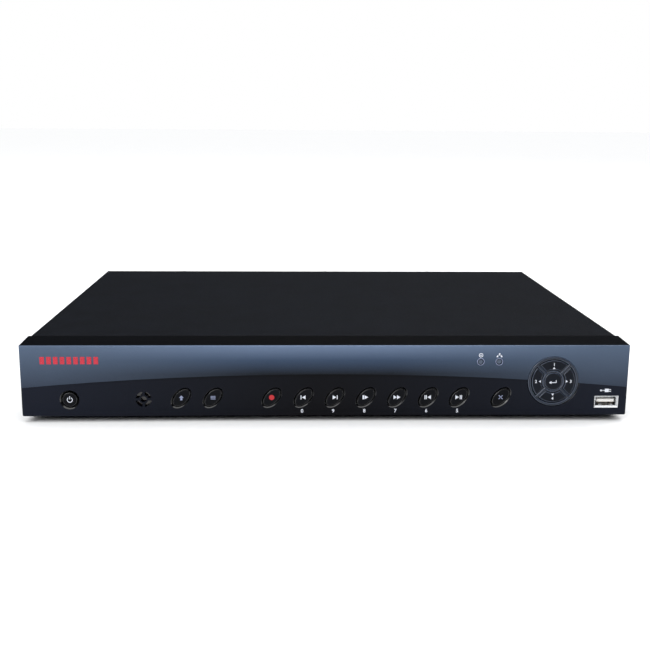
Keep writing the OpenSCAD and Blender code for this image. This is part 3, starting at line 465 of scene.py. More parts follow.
# The pad's rims are glossy, and their paler colour is a painted highlight.
PAD_RIM_GLOSS_PAINTED_HIGHLIGHT = Finish(
    "abs_moulded_pad_rim_painted_highlight", "#2a3547", "#344157", roughness=0.22, swing=0.04, specular=1.0,
    grain=0.3, bump=0.0,
)
# The pad's ring is the same resin painted satin grey.
RING_GREY = replace(
    KEY_BLACK, name="abs_painted_satin_grey_ring", base="#161d29", tone="#1d2533", roughness=0.3,
    specular=0.2,
)
# Moulded rubber has no gloss at all.
RUBBER_BLACK = Finish(
    "rubber_moulded_matte_black", "#101011", "#1a1a1b", roughness=0.85, swing=0.08, specular=0.3,
    grain=0.6, bump=0.03,
)
# Glass-filled nylon is dull and faintly uneven.
PART_BLACK = Finish(
    "nylon_moulded_part_black", "#0b0b0c", "#161617", roughness=0.5, swing=0.08, specular=0.4,
    bump=0.01,
)
# Polycarbonate takes the tool's polish, so the rocker mirrors a little.
ROCKER_BLACK = Finish(
    "polycarbonate_moulded_rocker_gloss_black", "#08080a", "#0f0f12", roughness=0.22, swing=0.04,
    grain=0.5, bump=0.002,
)
# Dark acrylic passes infrared only, so the eye sees a deep red black behind the grille.
WINDOW_RED = Finish(
    "acrylic_moulded_infrared_window", "#0d0406", "#16070a", roughness=0.12, swing=0.03, grain=0.8,
    bump=0.001,
)
# The light pipe's end is left frosted, so unlit it looks like smoke over the dark behind it.
PIPE_CLEAR = Finish(
    "polycarbonate_moulded_frosted_pipe", "#4a586c", "#38445a", roughness=0.35, grain=0.3, clear=0.2,
)
# Bright zinc on turned heads, with rings left by the lathe.
SCREW_ZINC = DrawnMetal(
    "steel_turned_zinc_plated", "#8f9296", "#b9bcc0", metallic=1.0, roughness=0.34, swing=0.08,
    grain=0.3, bump=0.002, along=(1.0, 1.0, 0.2),
)
# Near black steel laid in the screw recesses and slots as painted shade.
RECESS_PAINTED_SHADE = Finish(
    "steel_recess_painted_shade", "#15161a", "#25272c", metallic=0.6, swing=0.08, grain=0.3,
)
# Nickel is a warm bright grey, turned fine.
NICKEL = DrawnMetal(
    "brass_turned_nickel_plated", "#b9b6ae", "#d6d3ca", metallic=1.0, roughness=0.22, grain=0.25,
    bump=0.001, along=(0.15, 1.0, 0.15),
)
# Tin is cooler and whiter, with lines from rolling.
TINNED_STEEL = DrawnMetal(
    "steel_stamped_tin_plated", "#c3c5c8", "#e2e4e6", metallic=1.0, roughness=0.26, swing=0.07,
    grain=0.3, bump=0.001, along=(0.1, 1.0, 1.0),
)
# A flash of gold on copper, smooth and yellow.
GOLD_CONTACT = Finish(
    "copper_stamped_gold_plated", "#c79a3e", "#e3bd62", metallic=1.0, roughness=0.25, swing=0.05,
    grain=0.2, bump=0.001,
)
# Moulded insulators and rings in their usual colours, all with the soft gloss of nylon.
NYLON_WHITE = Finish("nylon_moulded_white", "#e8e6e2", "#f4f3f0")
SOCKET_BLUE = Finish(
    "polyester_moulded_socket_blue", "#1b3f9c", "#2850b4", roughness=0.42, bump=0.005,
)
TERMINAL_GREEN = Finish(
    "nylon_moulded_terminal_green", "#1f8a4c", "#2a9c5a", roughness=0.45, bump=0.006,
)
RING_RED = Finish("nylon_moulded_ring_red", "#b3161c", "#c9262b", swing=0.05)
RING_YELLOW = Finish("nylon_moulded_ring_yellow", "#d6a514", "#e6b92a", swing=0.05)
# The mask is glossy green and lies lighter over the copper.
BOARD_GREEN = BoardLacquer(
    "glass_epoxy_board_green_mask", "#0f4a26", "#1c6b39", swing=0.08, grain=0.5, bump=0.03,
)
# Castings are blasted to an even dull grey.
CAST_ALUMINIUM = Finish(
    "aluminium_die_cast_blasted", "#9b9da0", "#b9bbbe", metallic=1.0, roughness=0.5, swing=0.08,
    grain=0.5, bump=0.02,
)
# A disc is a near mirror.
DISC_MIRROR = Finish(
    "aluminium_polished_disc", "#cfd0d3", "#dcdde0", metallic=1.0, roughness=0.06, swing=0.02,
    grain=2.0, bump=0.0,
)
# Shrunk vinyl keeps a soft gloss, and extruded vinyl is duller with a faint waviness.
CAN_SLEEVE = Finish(
    "vinyl_shrunk_can_sleeve", "#15192c", "#20263e", roughness=0.35, swing=0.05, grain=0.6,
    bump=0.004,
)
LEAD_GREY = Finish(
    "vinyl_extruded_ribbon_grey", "#8d9096", "#a7aab0", roughness=0.5, grain=0.8, bump=0.02,
)
LEAD_RED = Finish(
    "vinyl_extruded_lead_red", "#8e1518", "#a92226", roughness=0.45, grain=0.8, bump=0.02,
)
# Pad-printed ink sits a few hundredths proud and is slightly chalky.
INK_WHITE = Finish("ink_pad_printed_white", "#dfe3ec", "#c8cedb", roughness=0.5, grain=0.3)
INK_DIM = Finish("ink_pad_printed_pale_blue", "#8b93b0", "#7a82a0", roughness=0.5, grain=0.3)
INK_RED = Finish("ink_pad_printed_red", "#b8101c", "#9a0d17", roughness=0.45, grain=0.3)
# Enamel floats to a gloss over the badge's blocks.
BADGE_RED = Finish("acrylic_enamel_badge_red", "#b50d2c", "#9e0b26", roughness=0.28, swing=0.05)


# ---------------------------------------------------------------- making pieces


def place_piece(
    shape: Shape, name: str, finish: Finish, slot: str, body: str = CASE,
    stands_for: Sequence[str] = (), edging: Optional[Finish] = None,
) -> Piece:
    """Turns a finished shape into a piece of the model.

    Args:
        shape: The shape in the frame's axes. It is freed.
        name: Name of the piece.
        finish: Its material.
        slot: Not used.
        body: The frame body that it rides on.
        stands_for: Frame nodes that it replaces.
        edging: Material of the faces marked as rounding, if it differs.

    Returns:
        The new piece.
    """
    for face in shape.faces:
        face.smooth = True
        face.material_index = face.material_index if edging else 0
    for edge in shape.edges:
        edge.smooth = len(edge.link_faces) == 2 and edge.calc_face_angle(0.0) < CRISP
    mesh = bpy.data.meshes.new(name)
    shape.to_mesh(mesh)
    shape.free()
    piece = bpy.data.objects.new(name, mesh)
    bpy.context.scene.collection.objects.link(piece)
    for coat in (finish, edging):
        if coat:
            mesh.materials.append(coat.material())
    even = piece.modifiers.new("even_normals", "WEIGHTED_NORMAL")
    even.keep_sharp = True
    even.weight = 100
    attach(piece, body)
    if stands_for:
        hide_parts(*stands_for)
    LOG.info("piece %s on %s: %d faces", name, body, len(mesh.polygons))
    return piece


def merged_copy(node: str) -> Shape:
    """Copies a frame node's mesh, merged into whole faces.

    Args:
        node: Name of the node.

    Returns:
        The copy, with flat faces made one and their edges shared.
    """
    shape = bmesh.new()
    shape.from_mesh(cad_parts[node].data)
    bmesh.ops.remove_doubles(shape, verts=shape.verts[:], dist=MERGE)
    bmesh.ops.dissolve_limit(shape, angle_limit=FLAT, verts=shape.verts[:], edges=shape.edges[:])
    return shape


def soften(shape: Shape, width: float, chosen: Chooser, segments: int = 2) -> None:
    """Rounds the crisp edges that are chosen, and marks the rounding as the second material.

    Args:
        shape: The shape, changed in place.
        width: Width of the rounding in metres.
        chosen: Says which edges are rounded.
        segments: Steps in the rounding.
    """
    edges = [
        e
        for e in shape.edges
        if len(e.link_faces) == 2 and e.calc_face_angle(0.0) > CREASE and chosen(e)
    ]
    if edges:
        rounded = bmesh.ops.bevel(
            shape, geom=edges, offset=width, offset_type="OFFSET", affect="EDGES",
            segments=segments, profile=0.5, clamp_overlap=True, material=-1,
        )
        for face in rounded["faces"]:
            face.material_index = 1


def on_plane(axis: int, place: float) -> Chooser:
    """Returns a chooser of the edges that lie where an axis has one place."""
    return lambda edge: all(abs(v.co[axis] - place) < TOUCH for v in edge.verts)


def every_edge(edge: Edge) -> bool:
    """Chooses every edge."""
    return True


def rounded_copy(
    node: str, finish: Finish, slot: str, width: float = 0.0, chosen: Chooser = every_edge,
    segments: int = 2, edging: Optional[Finish] = None, body: str = CASE,
) -> Piece:
    """Makes a piece that stands for a node, with its chosen edges rounded.

    Args:
        node: The frame node.
        finish: Its material.
        slot: Not used.
        width: Width of the rounding in metres; 0 leaves the edges.
        chosen: Says which edges are rounded.
        segments: Steps in the rounding.
        edging: Material of the rounding, if it differs.
        body: The body that it rides on.

    Returns:
        The new piece.
    """
    shape = merged_copy(node)
    if width > 0:
        soften(shape, width, chosen, segments)
    return place_piece(shape, node + "_finished", finish, slot, body, (node,), edging)


def dress(nodes: Iterable[str], finish: Finish) -> None:
    """Gives frame nodes that keep their own mesh a finish.

    Args:
        nodes: Names of the nodes.
        finish: The finish.
    """
    for node in nodes:
        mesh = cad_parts[node].data
        mesh.materials.clear()
        mesh.materials.append(finish.material())
        LOG.info("node %s dressed in %s", node, finish.name)


def block(shape: Shape, mid: Vector, size: Sequence[float], turn: Matrix = Matrix()) -> None:
    """Adds a block.

    Args:
        shape: The shape that gathers it.
        mid: Its middle.
        size: Its three sides in millimetres.
        turn: How it is turned about its middle.
    """
    sides = Matrix.Diagonal((*(mm(s) for s in size), 1.0))
    bmesh.ops.create_cube(shape, size=1.0, matrix=Matrix.Translation(mid) @ turn @ sides)


def stretch(shape: Shape, faces: list[bmesh.types.BMFace], depth: float) -> None:
    """Gives flat faces a depth along Y.

    Args:
        shape: The shape, changed in place.
        faces: The flat faces.
        depth: How far their far side stands from their near side.
    """
    grown = bmesh.ops.extrude_face_region(shape, geom=faces)["geom"]
    moved = [g for g in grown if isinstance(g, bmesh.types.BMVert)]
    bmesh.ops.translate(shape, vec=(0.0, depth, 0.0), verts=moved)
    bmesh.ops.recalc_face_normals(shape, faces=shape.faces[:])


class Sign(Enum):
    """The pictograms: each stroke's kind, then its sizes in millimetres and turns in degrees."""

    POWER = (("arc", 0, -0.1, 1.55, 0.42, 125, 290), ("bar", 0, 1.25, 0.42, 1.9))
    SHIFT = (("arrow", 0, 0.75, 1.5, 2.9, 90), ("bar", 0, -0.85, 1.25, 1.4))
    MENU = (("bar", 0, -0.85, 3.0, 0.42), ("bar", 0, 0, 3.0, 0.42), ("bar", 0, 0.85, 3.0, 0.42))
    RECORD = (("disc", 0, 0, 1.65),)
    PREVIOUS = (("bar", -1.55, 0, 0.5, 2.6), ("arrow", 0.15, 0, 2.2, 2.6, 180))
    NEXT = (("bar", 1.55, 0, 0.5, 2.6), ("arrow", -0.15, 0, 2.2, 2.6))
    SLOW = (("bar", -1.6, 0, 0.85, 2.6), ("arrow", 0.35, 0, 2.4, 2.6))
    FAST = (("arrow", -1.1, 0, 2.1, 2.6), ("arrow", 1.1, 0, 2.1, 2.6))
    REVERSE = (
        ("bar", -1.9, 0, 0.5, 2.6), ("bar", -1.05, 0, 0.5, 2.6), ("arrow", 0.75, 0, 2.2, 2.6, 180),
    )
    PLAY = (("arrow", -1.1, 0, 2.2, 2.6), ("bar", 0.75, 0, 0.5, 2.6), ("bar", 1.65, 0, 0.5, 2.6))
    LEAVE = (("bar", 0, 0, 3.4, 0.5, 45), ("bar", 0, 0, 0.5, 3.4, 45))
    ENTER = (
        ("bar", 0.3, -0.75, 3.4, 0.42), ("bar", 1.79, 0.1, 0.42, 1.3),
        ("arrow", -1.9, -0.75, 1.5, 1.9, 180),
    )
    DISC = (("arc", 0, 0, 1.15, 0.36), ("disc", 0, 0, 0.4))
    RIM = (("arc", 0, 0, 2.15, 0.3),)
    NETWORK = (
        ("bar", 0, 0.85, 0.95, 0.8), ("bar", -1.25, -0.85, 0.95, 0.8),
        ("bar", 1.25, -0.85, 0.95, 0.8), ("bar", 0, 0, 2.8, 0.26), ("bar", 0, 0.25, 0.26, 0.5),
        ("bar", -1.25, -0.25, 0.26, 0.5), ("bar", 1.25, -0.25, 0.26, 0.5),
    )
    PLUG = (
        ("bar", -0.2, 0, 2.4, 2.2), ("bar", 1.9, 0.55, 1.7, 0.45), ("bar", 1.9, -0.55, 1.7, 0.45),
        ("bar", -2.5, 0, 2.2, 0.45), ("disc", -3.8, 0, 0.6),
    )


class Face(Enum):
    """Which way a printed mark faces."""

    FRONT = 1
    REAR = -1


@dataclass
class Print:
    """Flat marks printed on an upright face, drawn in millimetres about one point.

    Attributes:
        origin: The point of the face in the frame's axes.
        face: Which way the face looks.
        thick: Thickness of the ink in millimetres, half of it sunk.
        shape: The marks laid so far.
    """

    origin: Vector
    face: Face = Face.FRONT
    thick: float = 0.08
    shape: Shape = field(default_factory=bmesh.new)

    def _lay(self, x: float, z: float, turn: float, wide: float, high: float) -> Matrix:
        """Works out the matrix that lays a unit shape on the face.

        Args:
            x: Right of the origin, as the reader sees it.
            z: Above the origin.
            turn: Turn in degrees, anticlockwise to the reader.
            wide: Width of the shape.
            high: Height of the shape.

        Returns:
            The matrix.
        """
        size = Matrix.Diagonal((mm(wide), mm(high), 1.0, 1.0))
        about = Matrix.Rotation(math.radians(turn), 4, "Z")
        shift = Matrix.Translation((mm(x), mm(z), 0.0))
        upright = Matrix.Rotation(math.radians(90), 4, "X")
        if self.face is Face.REAR:
            upright = Matrix.Rotation(math.pi, 4, "Z") @ upright
        return Matrix.Translation(self.origin) @ upright @ shift @ about @ size

    def bar(self, x: float, z: float, wide: float, high: float, turn: float = 0.0) -> None:
        """Adds a bar.

        Args:
            x: Its middle across.
            z: Its middle up.
            wide: Its width.
            high: Its height.
            turn: Turn in degrees.
        """
        lay = self._lay(x, z, turn, wide, high)
        bmesh.ops.create_grid(self.shape, x_segments=1, y_segments=1, size=0.5, matrix=lay)

    def disc(self, x: float, z: float, radius: float) -> None:
        """Adds a disc.

        Args:
            x: Its middle across.
            z: Its middle up.
            radius: Its radius.
        """
        lay = self._lay(x, z, 0.0, radius, radius)
        bmesh.ops.create_circle(self.shape, cap_ends=True, segments=28, radius=1.0, matrix=lay)

    def arrow(self, x: float, z: float, wide: float, high: float, turn: float = 0.0) -> None:
        """Adds a triangle that points right when unturned.

        Args:
            x: Its middle across.
            z: Its middle up.
            wide: Its length from base to tip.
            high: Its base.
            turn: Turn in degrees.
        """
        # a circle of three sides has a corner on +Y, so a quarter turn points it right
        lay = self._lay(x, z, turn, wide / 1.5, high / math.sqrt(3))
        lay = lay @ Matrix.Translation((-0.25, 0.0, 0.0)) @ Matrix.Rotation(-math.pi / 2, 4, "Z")
        bmesh.ops.create_circle(self.shape, cap_ends=True, segments=3, radius=1.0, matrix=lay)

    def arc(
        self, x: float, z: float, radius: float, wide: float, start: float = 0.0,
        sweep: float = 360.0,
    ) -> None:
        """Adds a curved stroke.

        Args:
            x: Its centre across.
            z: Its centre up.
            radius: Radius of its middle line.
            wide: Width of the stroke.
            start: Where it begins, in degrees from the right.
            sweep: How far it goes round.
        """
        lay = self._lay(x, z, 0.0, 1.0, 1.0)
        first = lay @ Matrix.Rotation(math.radians(start), 4, "Z")
        places = [first @ Vector((radius + s * wide / 2, 0.0, 0.0)) for s in (-1, 1)]
        ends = [self.shape.verts.new(place) for place in places]
        line = self.shape.edges.new(ends)
        bmesh.ops.spin(
            self.shape, geom=[*ends, line], cent=lay.translation,
            axis=(lay.to_3x3() @ Vector((0, 0, 1))).normalized(), angle=math.radians(sweep),
            steps=max(6, int(abs(sweep) / 12)), use_merge=abs(sweep) == 360.0,
        )

    def draw(self, sign: Sign) -> None:
        """Draws a pictogram about the origin.

        Args:
            sign: Which pictogram.
        """
        strokes = {"bar": self.bar, "disc": self.disc, "arrow": self.arrow, "arc": self.arc}
        for kind, *sizes in sign.value:
            strokes[kind](*sizes)

    def digit(self, x: float, z: float, figure: str, high: float) -> None:
        """Adds a figure.

        Args:
            x: Its middle across.
            z: Its middle up.
            figure: The figure.
            high: Its height.
        """
        curve = bpy.data.curves.new("figure", "FONT")
        curve.body = figure
        curve.align_x = "CENTER"
        curve.offset = 0.015
        curve.resolution_u = 3
        holder = bpy.data.objects.new("figure", curve)
        bpy.context.scene.collection.objects.link(holder)
        bpy.context.view_layer.update()
        graph = bpy.context.evaluated_depsgraph_get()
        mesh = bpy.data.meshes.new_from_object(holder.evaluated_get(graph))
        scale = high / max(v.co.y for v in mesh.vertices)
        mesh.transform(self._lay(x, z - high / 2, 0.0, scale, scale))
        self.shape.from_mesh(mesh)
        bpy.data.objects.remove(holder)
        bpy.data.curves.remove(curve)
        bpy.data.meshes.remove(mesh)

    def finish(self, name: str, ink: Finish, slot: str, body: str = CASE) -> None:
        """Gives the marks their thickness and places them.

        Args:
            name: Name of the piece.
            ink: The ink.
            slot: Not used.
            body: The body that it rides on.
        """
        bmesh.ops.remove_doubles(self.shape, verts=self.shape.verts[:], dist=MERGE / 10)
        bmesh.ops.solidify(self.shape, geom=self.shape.faces[:], thickness=mm(self.thick))
        bmesh.ops.recalc_face_normals(self.shape, faces=self.shape.faces[:])
        depths = [v.co.y for v in self.shape.verts]
        shift = (0.0, self.origin.y - (min(depths) + max(depths)) / 2, 0.0)
        bmesh.ops.translate(self.shape, vec=shift, verts=self.shape.verts[:])
        place_piece(self.shape, name, ink, slot, body)


class Surface:
    """Finds the skin of a frame node, so that marks lie on it."""

    def __init__(self, node: str) -> None:
        """Reads a node's mesh.

        Args:
            node: The frame node.
        """
        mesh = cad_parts[node].data
        sides = [tuple(p.vertices) for p in mesh.polygons]
        self.tree = BVHTree.FromPolygons([v.co for v in mesh.vertices], sides)

    def meet(self, x: float, z: float, face: Face = Face.FRONT) -> Vector:
        """Finds the first point met from one side.

        Args:
            x: Place across.
            z: Place up.
            face: The side that is looked at.

        Returns:
            The point, or one at y = 0 where nothing is met.
        """
        way = Vector((0.0, face.value, 0.0))
        hit = self.tree.ray_cast(Vector((x, 0.0, z)) - way, way)[0]
        return hit if hit is not None else Vector((x, 0.0, z))


# ---------------------------------------------------------------- sub-assemblies


@dataclass
class Cover:
    """The folded cover, the tray and the feet.

    Attributes:
        fold: Outer radius of the cover's folds.
        foot_edge: Rounding of the feet's lower rims.
        shortest: Shorter edges of the cover belong to its slots.
    """

    fold: float = mm(0.9)
    foot_edge: float = mm(0.5)
    shortest: float = mm(20)

    def build(self) -> None:
        """Builds the outer case."""
        box = Box.of("top_cover")
        on_top = on_plane(Z_AXIS, box.hi.z)
        sides = [on_plane(X_AXIS, box.lo.x), on_plane(X_AXIS, box.hi.x), on_plane(Y_AXIS, box.hi.y)]

        def folded(edge: Edge) -> bool:
            """Chooses the long outer edges of the top."""
            return edge.calc_length() > self.shortest and on_top(edge) and any(s(edge) for s in sides)

        rounded_copy("top_cover", POWDER_BLACK, "powder_coat", self.fold, folded, 4)
        dress(("base_tray",), ZINC_SHEET)
        rounded_copy("rear_panel", PANEL_BLACK, "powder_coat")
        rims = on_plane(Z_AXIS, Box.of("rubber_feet").lo.z)
        rounded_copy("rubber_feet", RUBBER_BLACK, "rubber_black", self.foot_edge, rims, 3)


@dataclass
class Screws:
    """Pan-head screws: the frame's screws with a cross recess drawn on each visible head.

    Attributes:
        arm: Length of the recess, in millimetres.
        wide: Width of each arm of the recess, in millimetres.
        deep: Thickness of the recess piece, in millimetres.
        edge: Rounding of the heads.
        least: Radius of a disc that every head's face is larger than.
        rear_slack: How far in front of the rearmost head another may stand.
    """

    arm: float = 3.2
    wide: float = 0.7
    deep: float = 0.12
    edge: float = mm(0.35)
    least: float = mm(2.8)
    rear_slack: float = mm(1.5)

    def build(self) -> None:
        """Builds the screws of the case."""
        rounded_copy("case_screws", SCREW_ZINC, "screw_steel", self.edge)
        shape = bmesh.new()
        for centre, out in self.heads():
            face_it = out.to_track_quat("Z", "Y").to_matrix().to_4x4()
            for wide, high in ((self.arm, self.wide), (self.wide, self.arm)):
                block(shape, centre, (wide, high, self.deep), face_it)
        # the dark crosses stand in for the recesses as painted shade
        place_piece(shape, "screw_recesses", RECESS_PAINTED_SHADE, "screw_steel")

    def heads(self) -> list[tuple[Vector, Vector]]:
        """Finds the heads that show.

        Returns:
            The middle of each head's face with the way that it faces.
        """
        found: list[tuple[Vector, Vector]] = []
        shape = merged_copy("case_screws")
        far = Box.of("case_screws").hi
        for face in shape.faces:
            centre, out = face.calc_center_median(), face.normal
            if face.calc_area() < math.pi * self.least**2:
                continue
            side = abs(out.x) > 0.9 and abs(centre.x) > far.x - mm(0.1) and out.x * centre.x > 0
            if side or (out.y > 0.9 and centre.y > far.y - self.rear_slack):
                found.append((centre.copy(), out.copy()))
        shape.free()
        return found


@dataclass
class MouldedFront:
    """The moulded front with its band, badge, receiver window, indicators and printed marks.

    Attributes:
        crest_edge: Rounding of the band's upper front edge.
        crest_deep: How far below the band's top that edge may dip.
        pipe_edge: Rounding of a light pipe's end.
        pipe_radius: Outer radius of a light pipe.
        badge_x: Left end of the badge from the band's left end.
        badge_long: Length of the badge, in millimetres.
        badge_high: Height of the badge, in millimetres.
        badge_drop: Middle of the badge below the band's top.
        badge_thick: Thickness of the badge, in millimetres.
        rim_thick: Thickness of the indicators' rims, in millimetres.
        blocks: Number of equal blocks that the badge is divided into.
        fill: Share of its pitch that a block fills.
        label_rise: Height of an indicator's pictogram above it.
        plug_rise: Height of the plug's pictogram above the front socket.
        well_deep: How far back the polished chamfers of the key openings reach.
        well_out: How far from the middle they reach.
        well_high: Between what heights they lie.
    """

    crest_edge: float = mm(0.35)
    crest_deep: float = mm(0.3)
    pipe_edge: float = mm(0.3)
    pipe_radius: float = mm(2.45)
    badge_x: float = mm(11.8)
    badge_long: float = 36.6
    badge_high: float = 4.6
    badge_drop: float = mm(9.1)
    badge_thick: float = 0.2
    rim_thick: float = 0.12
    blocks: int = 9
    fill: float = 0.68
    label_rise: float = mm(4.1)
    plug_rise: float = mm(3.6)
    well_deep: float = mm(3.2)
    well_out: float = mm(166)
    well_high: Span = (mm(8), mm(24))

    def build(self, skin: Surface) -> None:
        """Builds the front.

        Args:
            skin: The moulded front's face.
        """
        band = Box.of("fascia_band")

        def crest(edge: Edge) -> bool:
            """Chooses the band's upper front edge."""
            low, rear = band.hi.z - self.crest_deep, band.lo.y + TOUCH
            return all(v.co.z > low and v.co.y < rear for v in edge.verts)

        self.moulding()
        # the band's colour carries painted light and shade, and its crest rounding a painted highlight
        rounded_copy(
            "fascia_band", BAND_LACQUER_PAINTED_LIGHT, "band_blue", self.crest_edge, crest, edging=CREST_PAINTED_HIGHLIGHT
        )
        rounded_copy("receiver_window", WINDOW_RED, "dark_window")
        pipes = Box.of("light_pipes")
        ends = on_plane(Y_AXIS, pipes.lo.y)
        rounded_copy("light_pipes", PIPE_CLEAR, "clear_pipe", self.pipe_edge, ends, 3)
        self.badge(band)
        self.indicator_signs(pipes, band)
        shell = Box.of("front_usb_shell")
        page = Print(skin.meet(shell.mid.x, shell.hi.z + self.plug_rise))
        page.draw(Sign.PLUG)
        page.finish("plug_sign", INK_WHITE, "front_black")

    def moulding(self) -> None:
        """Builds the moulded front, with polished chamfers round the key openings."""
        shape = merged_copy("front_bezel")
        rear = Box.of("front_bezel").lo.y + self.well_deep
        low, high = self.well_high
        for face in shape.faces:
            spot = face.calc_center_median()
            near = spot.y < rear and low < spot.z < high and abs(spot.x) < self.well_out
            if near and 0.3 < -face.normal.y < 0.95:
                face.material_index = 1
        # the moulding's colour carries painted shade in the middle below the band's step
        place_piece(
            shape, "front_bezel_finished", BEZEL_BLACK_PAINTED_SHADE, "front_black", CASE, ("front_bezel",),
            EDGE_GLOSS,
        )

    def badge(self, band: Box) -> None:
        """Builds the plain badge: a row of equal raised blocks.

        Args:
            band: Place of the band.
        """
        pitch = self.badge_long / self.blocks
        middle = band.lo.x + self.badge_x + mm(self.badge_long / 2)
        spot = Vector((middle, band.lo.y, band.hi.z - self.badge_drop))
        page = Print(spot, thick=self.badge_thick)
        for i in range(self.blocks):
            page.bar((i - (self.blocks - 1) / 2) * pitch, 0, pitch * self.fill, self.badge_high)
        page.finish("badge_blocks", BADGE_RED, "band_blue")

    def indicator_signs(self, pipes: Box, band: Box) -> None:
        """Prints a rim round each indicator, a disc over the left one, a network over the right.

        Args:
            pipes: Place of the two light pipes.
            band: Place of the band.
        """
        low = pipes.hi.z - self.pipe_radius
        left, right = pipes.lo.x + self.pipe_radius, pipes.hi.x - self.pipe_radius
        for name, sign, x, z, thick, ink in (
            ("disc_sign", Sign.DISC, left, low + self.label_rise, Print.thick, INK_WHITE),
            ("indicator_rim_left", Sign.RIM, left, low, self.rim_thick, INK_DIM),
            ("indicator_rim_right", Sign.RIM, right, low, self.rim_thick, INK_DIM),
            ("network_sign", Sign.NETWORK, right, low + self.label_rise, Print.thick, INK_WHITE),
        ):
            page = Print(Vector((x, band.lo.y, z)), thick=thick)
            page.draw(sign)
            page.finish(name, ink, "band_blue")


@dataclass(frozen=True)
class KeyLabel:
    """What is printed on a key and under it.

    Attributes:
        sign: The pictogram on the key.
        ink: Its ink.
        figure: The figure printed below the key, or nothing.
    """

    sign: Sign
    ink: Finish = INK_WHITE
    figure: str = ""


@dataclass
class KeyRow:
    """The power key and the ten leaning oval keys.

    Attributes:
        edge: Rounding of a key's face.
        figure_high: Height of the figures, in millimetres.
        figure_drop: How far below a key's middle its figure stands.
        figure_left: How far left of the middle.
        labels: What is printed for each key's node.
    """

    edge: float = mm(0.3)
    figure_high: float = 2.3
    figure_drop: float = mm(8.6)
    figure_left: float = mm(0.9)
    labels: dict[str, KeyLabel] = field(
        default_factory=lambda: {
            "power_button": KeyLabel(Sign.POWER),
            "shift_button": KeyLabel(Sign.SHIFT, INK_DIM),
            "function_button": KeyLabel(Sign.MENU, INK_DIM),
            "record_button": KeyLabel(Sign.RECORD, INK_RED),
            "previous_button": KeyLabel(Sign.PREVIOUS, figure="0"),
            "next_button": KeyLabel(Sign.NEXT, figure="9"),
            "slow_button": KeyLabel(Sign.SLOW, figure="8"),
            "fast_button": KeyLabel(Sign.FAST, figure="7"),
            "reverse_button": KeyLabel(Sign.REVERSE, figure="6"),
            "play_button": KeyLabel(Sign.PLAY, figure="5"),
            "escape_button": KeyLabel(Sign.LEAVE, INK_DIM),
        }
    )

    def build(self, skin: Surface) -> None:
        """Builds every key with its marks.

        Args:
            skin: The moulded front's face, for the figures under the keys.
        """
        for node, label in self.labels.items():
            box = Box.of(node)
            body = node + "_body"
            face = on_plane(Y_AXIS, box.lo.y)
            rounded_copy(node, KEY_BLACK, "key_black", self.edge, face, 3, EDGE_GLOSS, body)
            page = Print(Vector((box.mid.x, box.lo.y, box.mid.z)))
            page.draw(label.sign)
            page.finish(node + "_sign", label.ink, "key_black", body)
            if label.figure:
                page = Print(skin.meet(box.mid.x - self.figure_left, box.mid.z - self.figure_drop))
                page.digit(0, 0, label.figure, self.figure_high)
                page.finish(node + "_figure", INK_WHITE, "front_black")


@dataclass
class DirectionPad:
    """The round pad: ring, four keys, middle key and their marks.

    Attributes:
        edge: Rounding of the ring and the keys.
        figure_high: Height of the figures, in millimetres.
        out: How far beyond a key's middle its marks stand.
        arrow: How far inwards of the marks the arrow stands, in millimetres: beside, above.
        arrow_size: Length and base of the arrow, in millimetres.
        figure: How far outwards the figure stands, in millimetres: beside, above.
        keys: The way each key's arrow points, in degrees, and the key's figure.
    """

    edge: float = mm(0.36)
    figure_high: float = 1.9
    out: float = mm(0.4)
    arrow: Span = (1.2, 1.1)
    arrow_size: Span = (1.3, 1.6)
    figure: float = 1.2
    keys: dict[str, tuple[float, str]] = field(
        default_factory=lambda: {
            "up_key": (90, "1"), "left_key": (180, "2"), "right_key": (0, "3"), "down_key": (270, "4"),
        }
    )

    def rimmed(self, node: str, finish: Finish, slot: str, body: str) -> Box:
        """Makes one part of the pad, with a bright rim round its face.

        Args:
            node: The frame node.
            finish: Its material.
            slot: Not used.
            body: The body that it rides on.

        Returns:
            The node's place.
        """
        box = Box.of(node)
        face = on_plane(Y_AXIS, box.lo.y)
        # the rounding takes the paler rim colour, a painted highlight
        rounded_copy(node, finish, slot, self.edge, face, 3, PAD_RIM_GLOSS_PAINTED_HIGHLIGHT, body)
        return box

    def build(self) -> None:
        """Builds the pad."""
        self.rimmed("direction_ring", RING_GREY, "front_black", CASE)
        middle = self.rimmed("enter_button", PAD_KEY_BLACK, "key_black", "enter_button_body")
        page = Print(Vector((middle.mid.x, middle.lo.y, middle.mid.z)))
        page.draw(Sign.ENTER)
        page.finish("enter_button_sign", INK_WHITE, "key_black", "enter_button_body")
        for node, (turn, text) in self.keys.items():
            box = self.rimmed(node, PAD_KEY_BLACK, "key_black", node + "_body")
            across, up = (round(f(math.radians(turn))) for f in (math.cos, math.sin))
            along = Vector((across, 0.0, up))
            reach = (box.mid - middle.mid).dot(along) + self.out
            page = Print(Vector((middle.mid.x, box.lo.y, middle.mid.z)) + along * reach)
            page.arrow(-across * self.arrow[0], -up * self.arrow[1], *self.arrow_size, turn)
            page.digit(across * self.figure, up * self.figure, text, self.figure_high)
            page.finish(node + "_sign", INK_WHITE, "key_black", node + "_body")


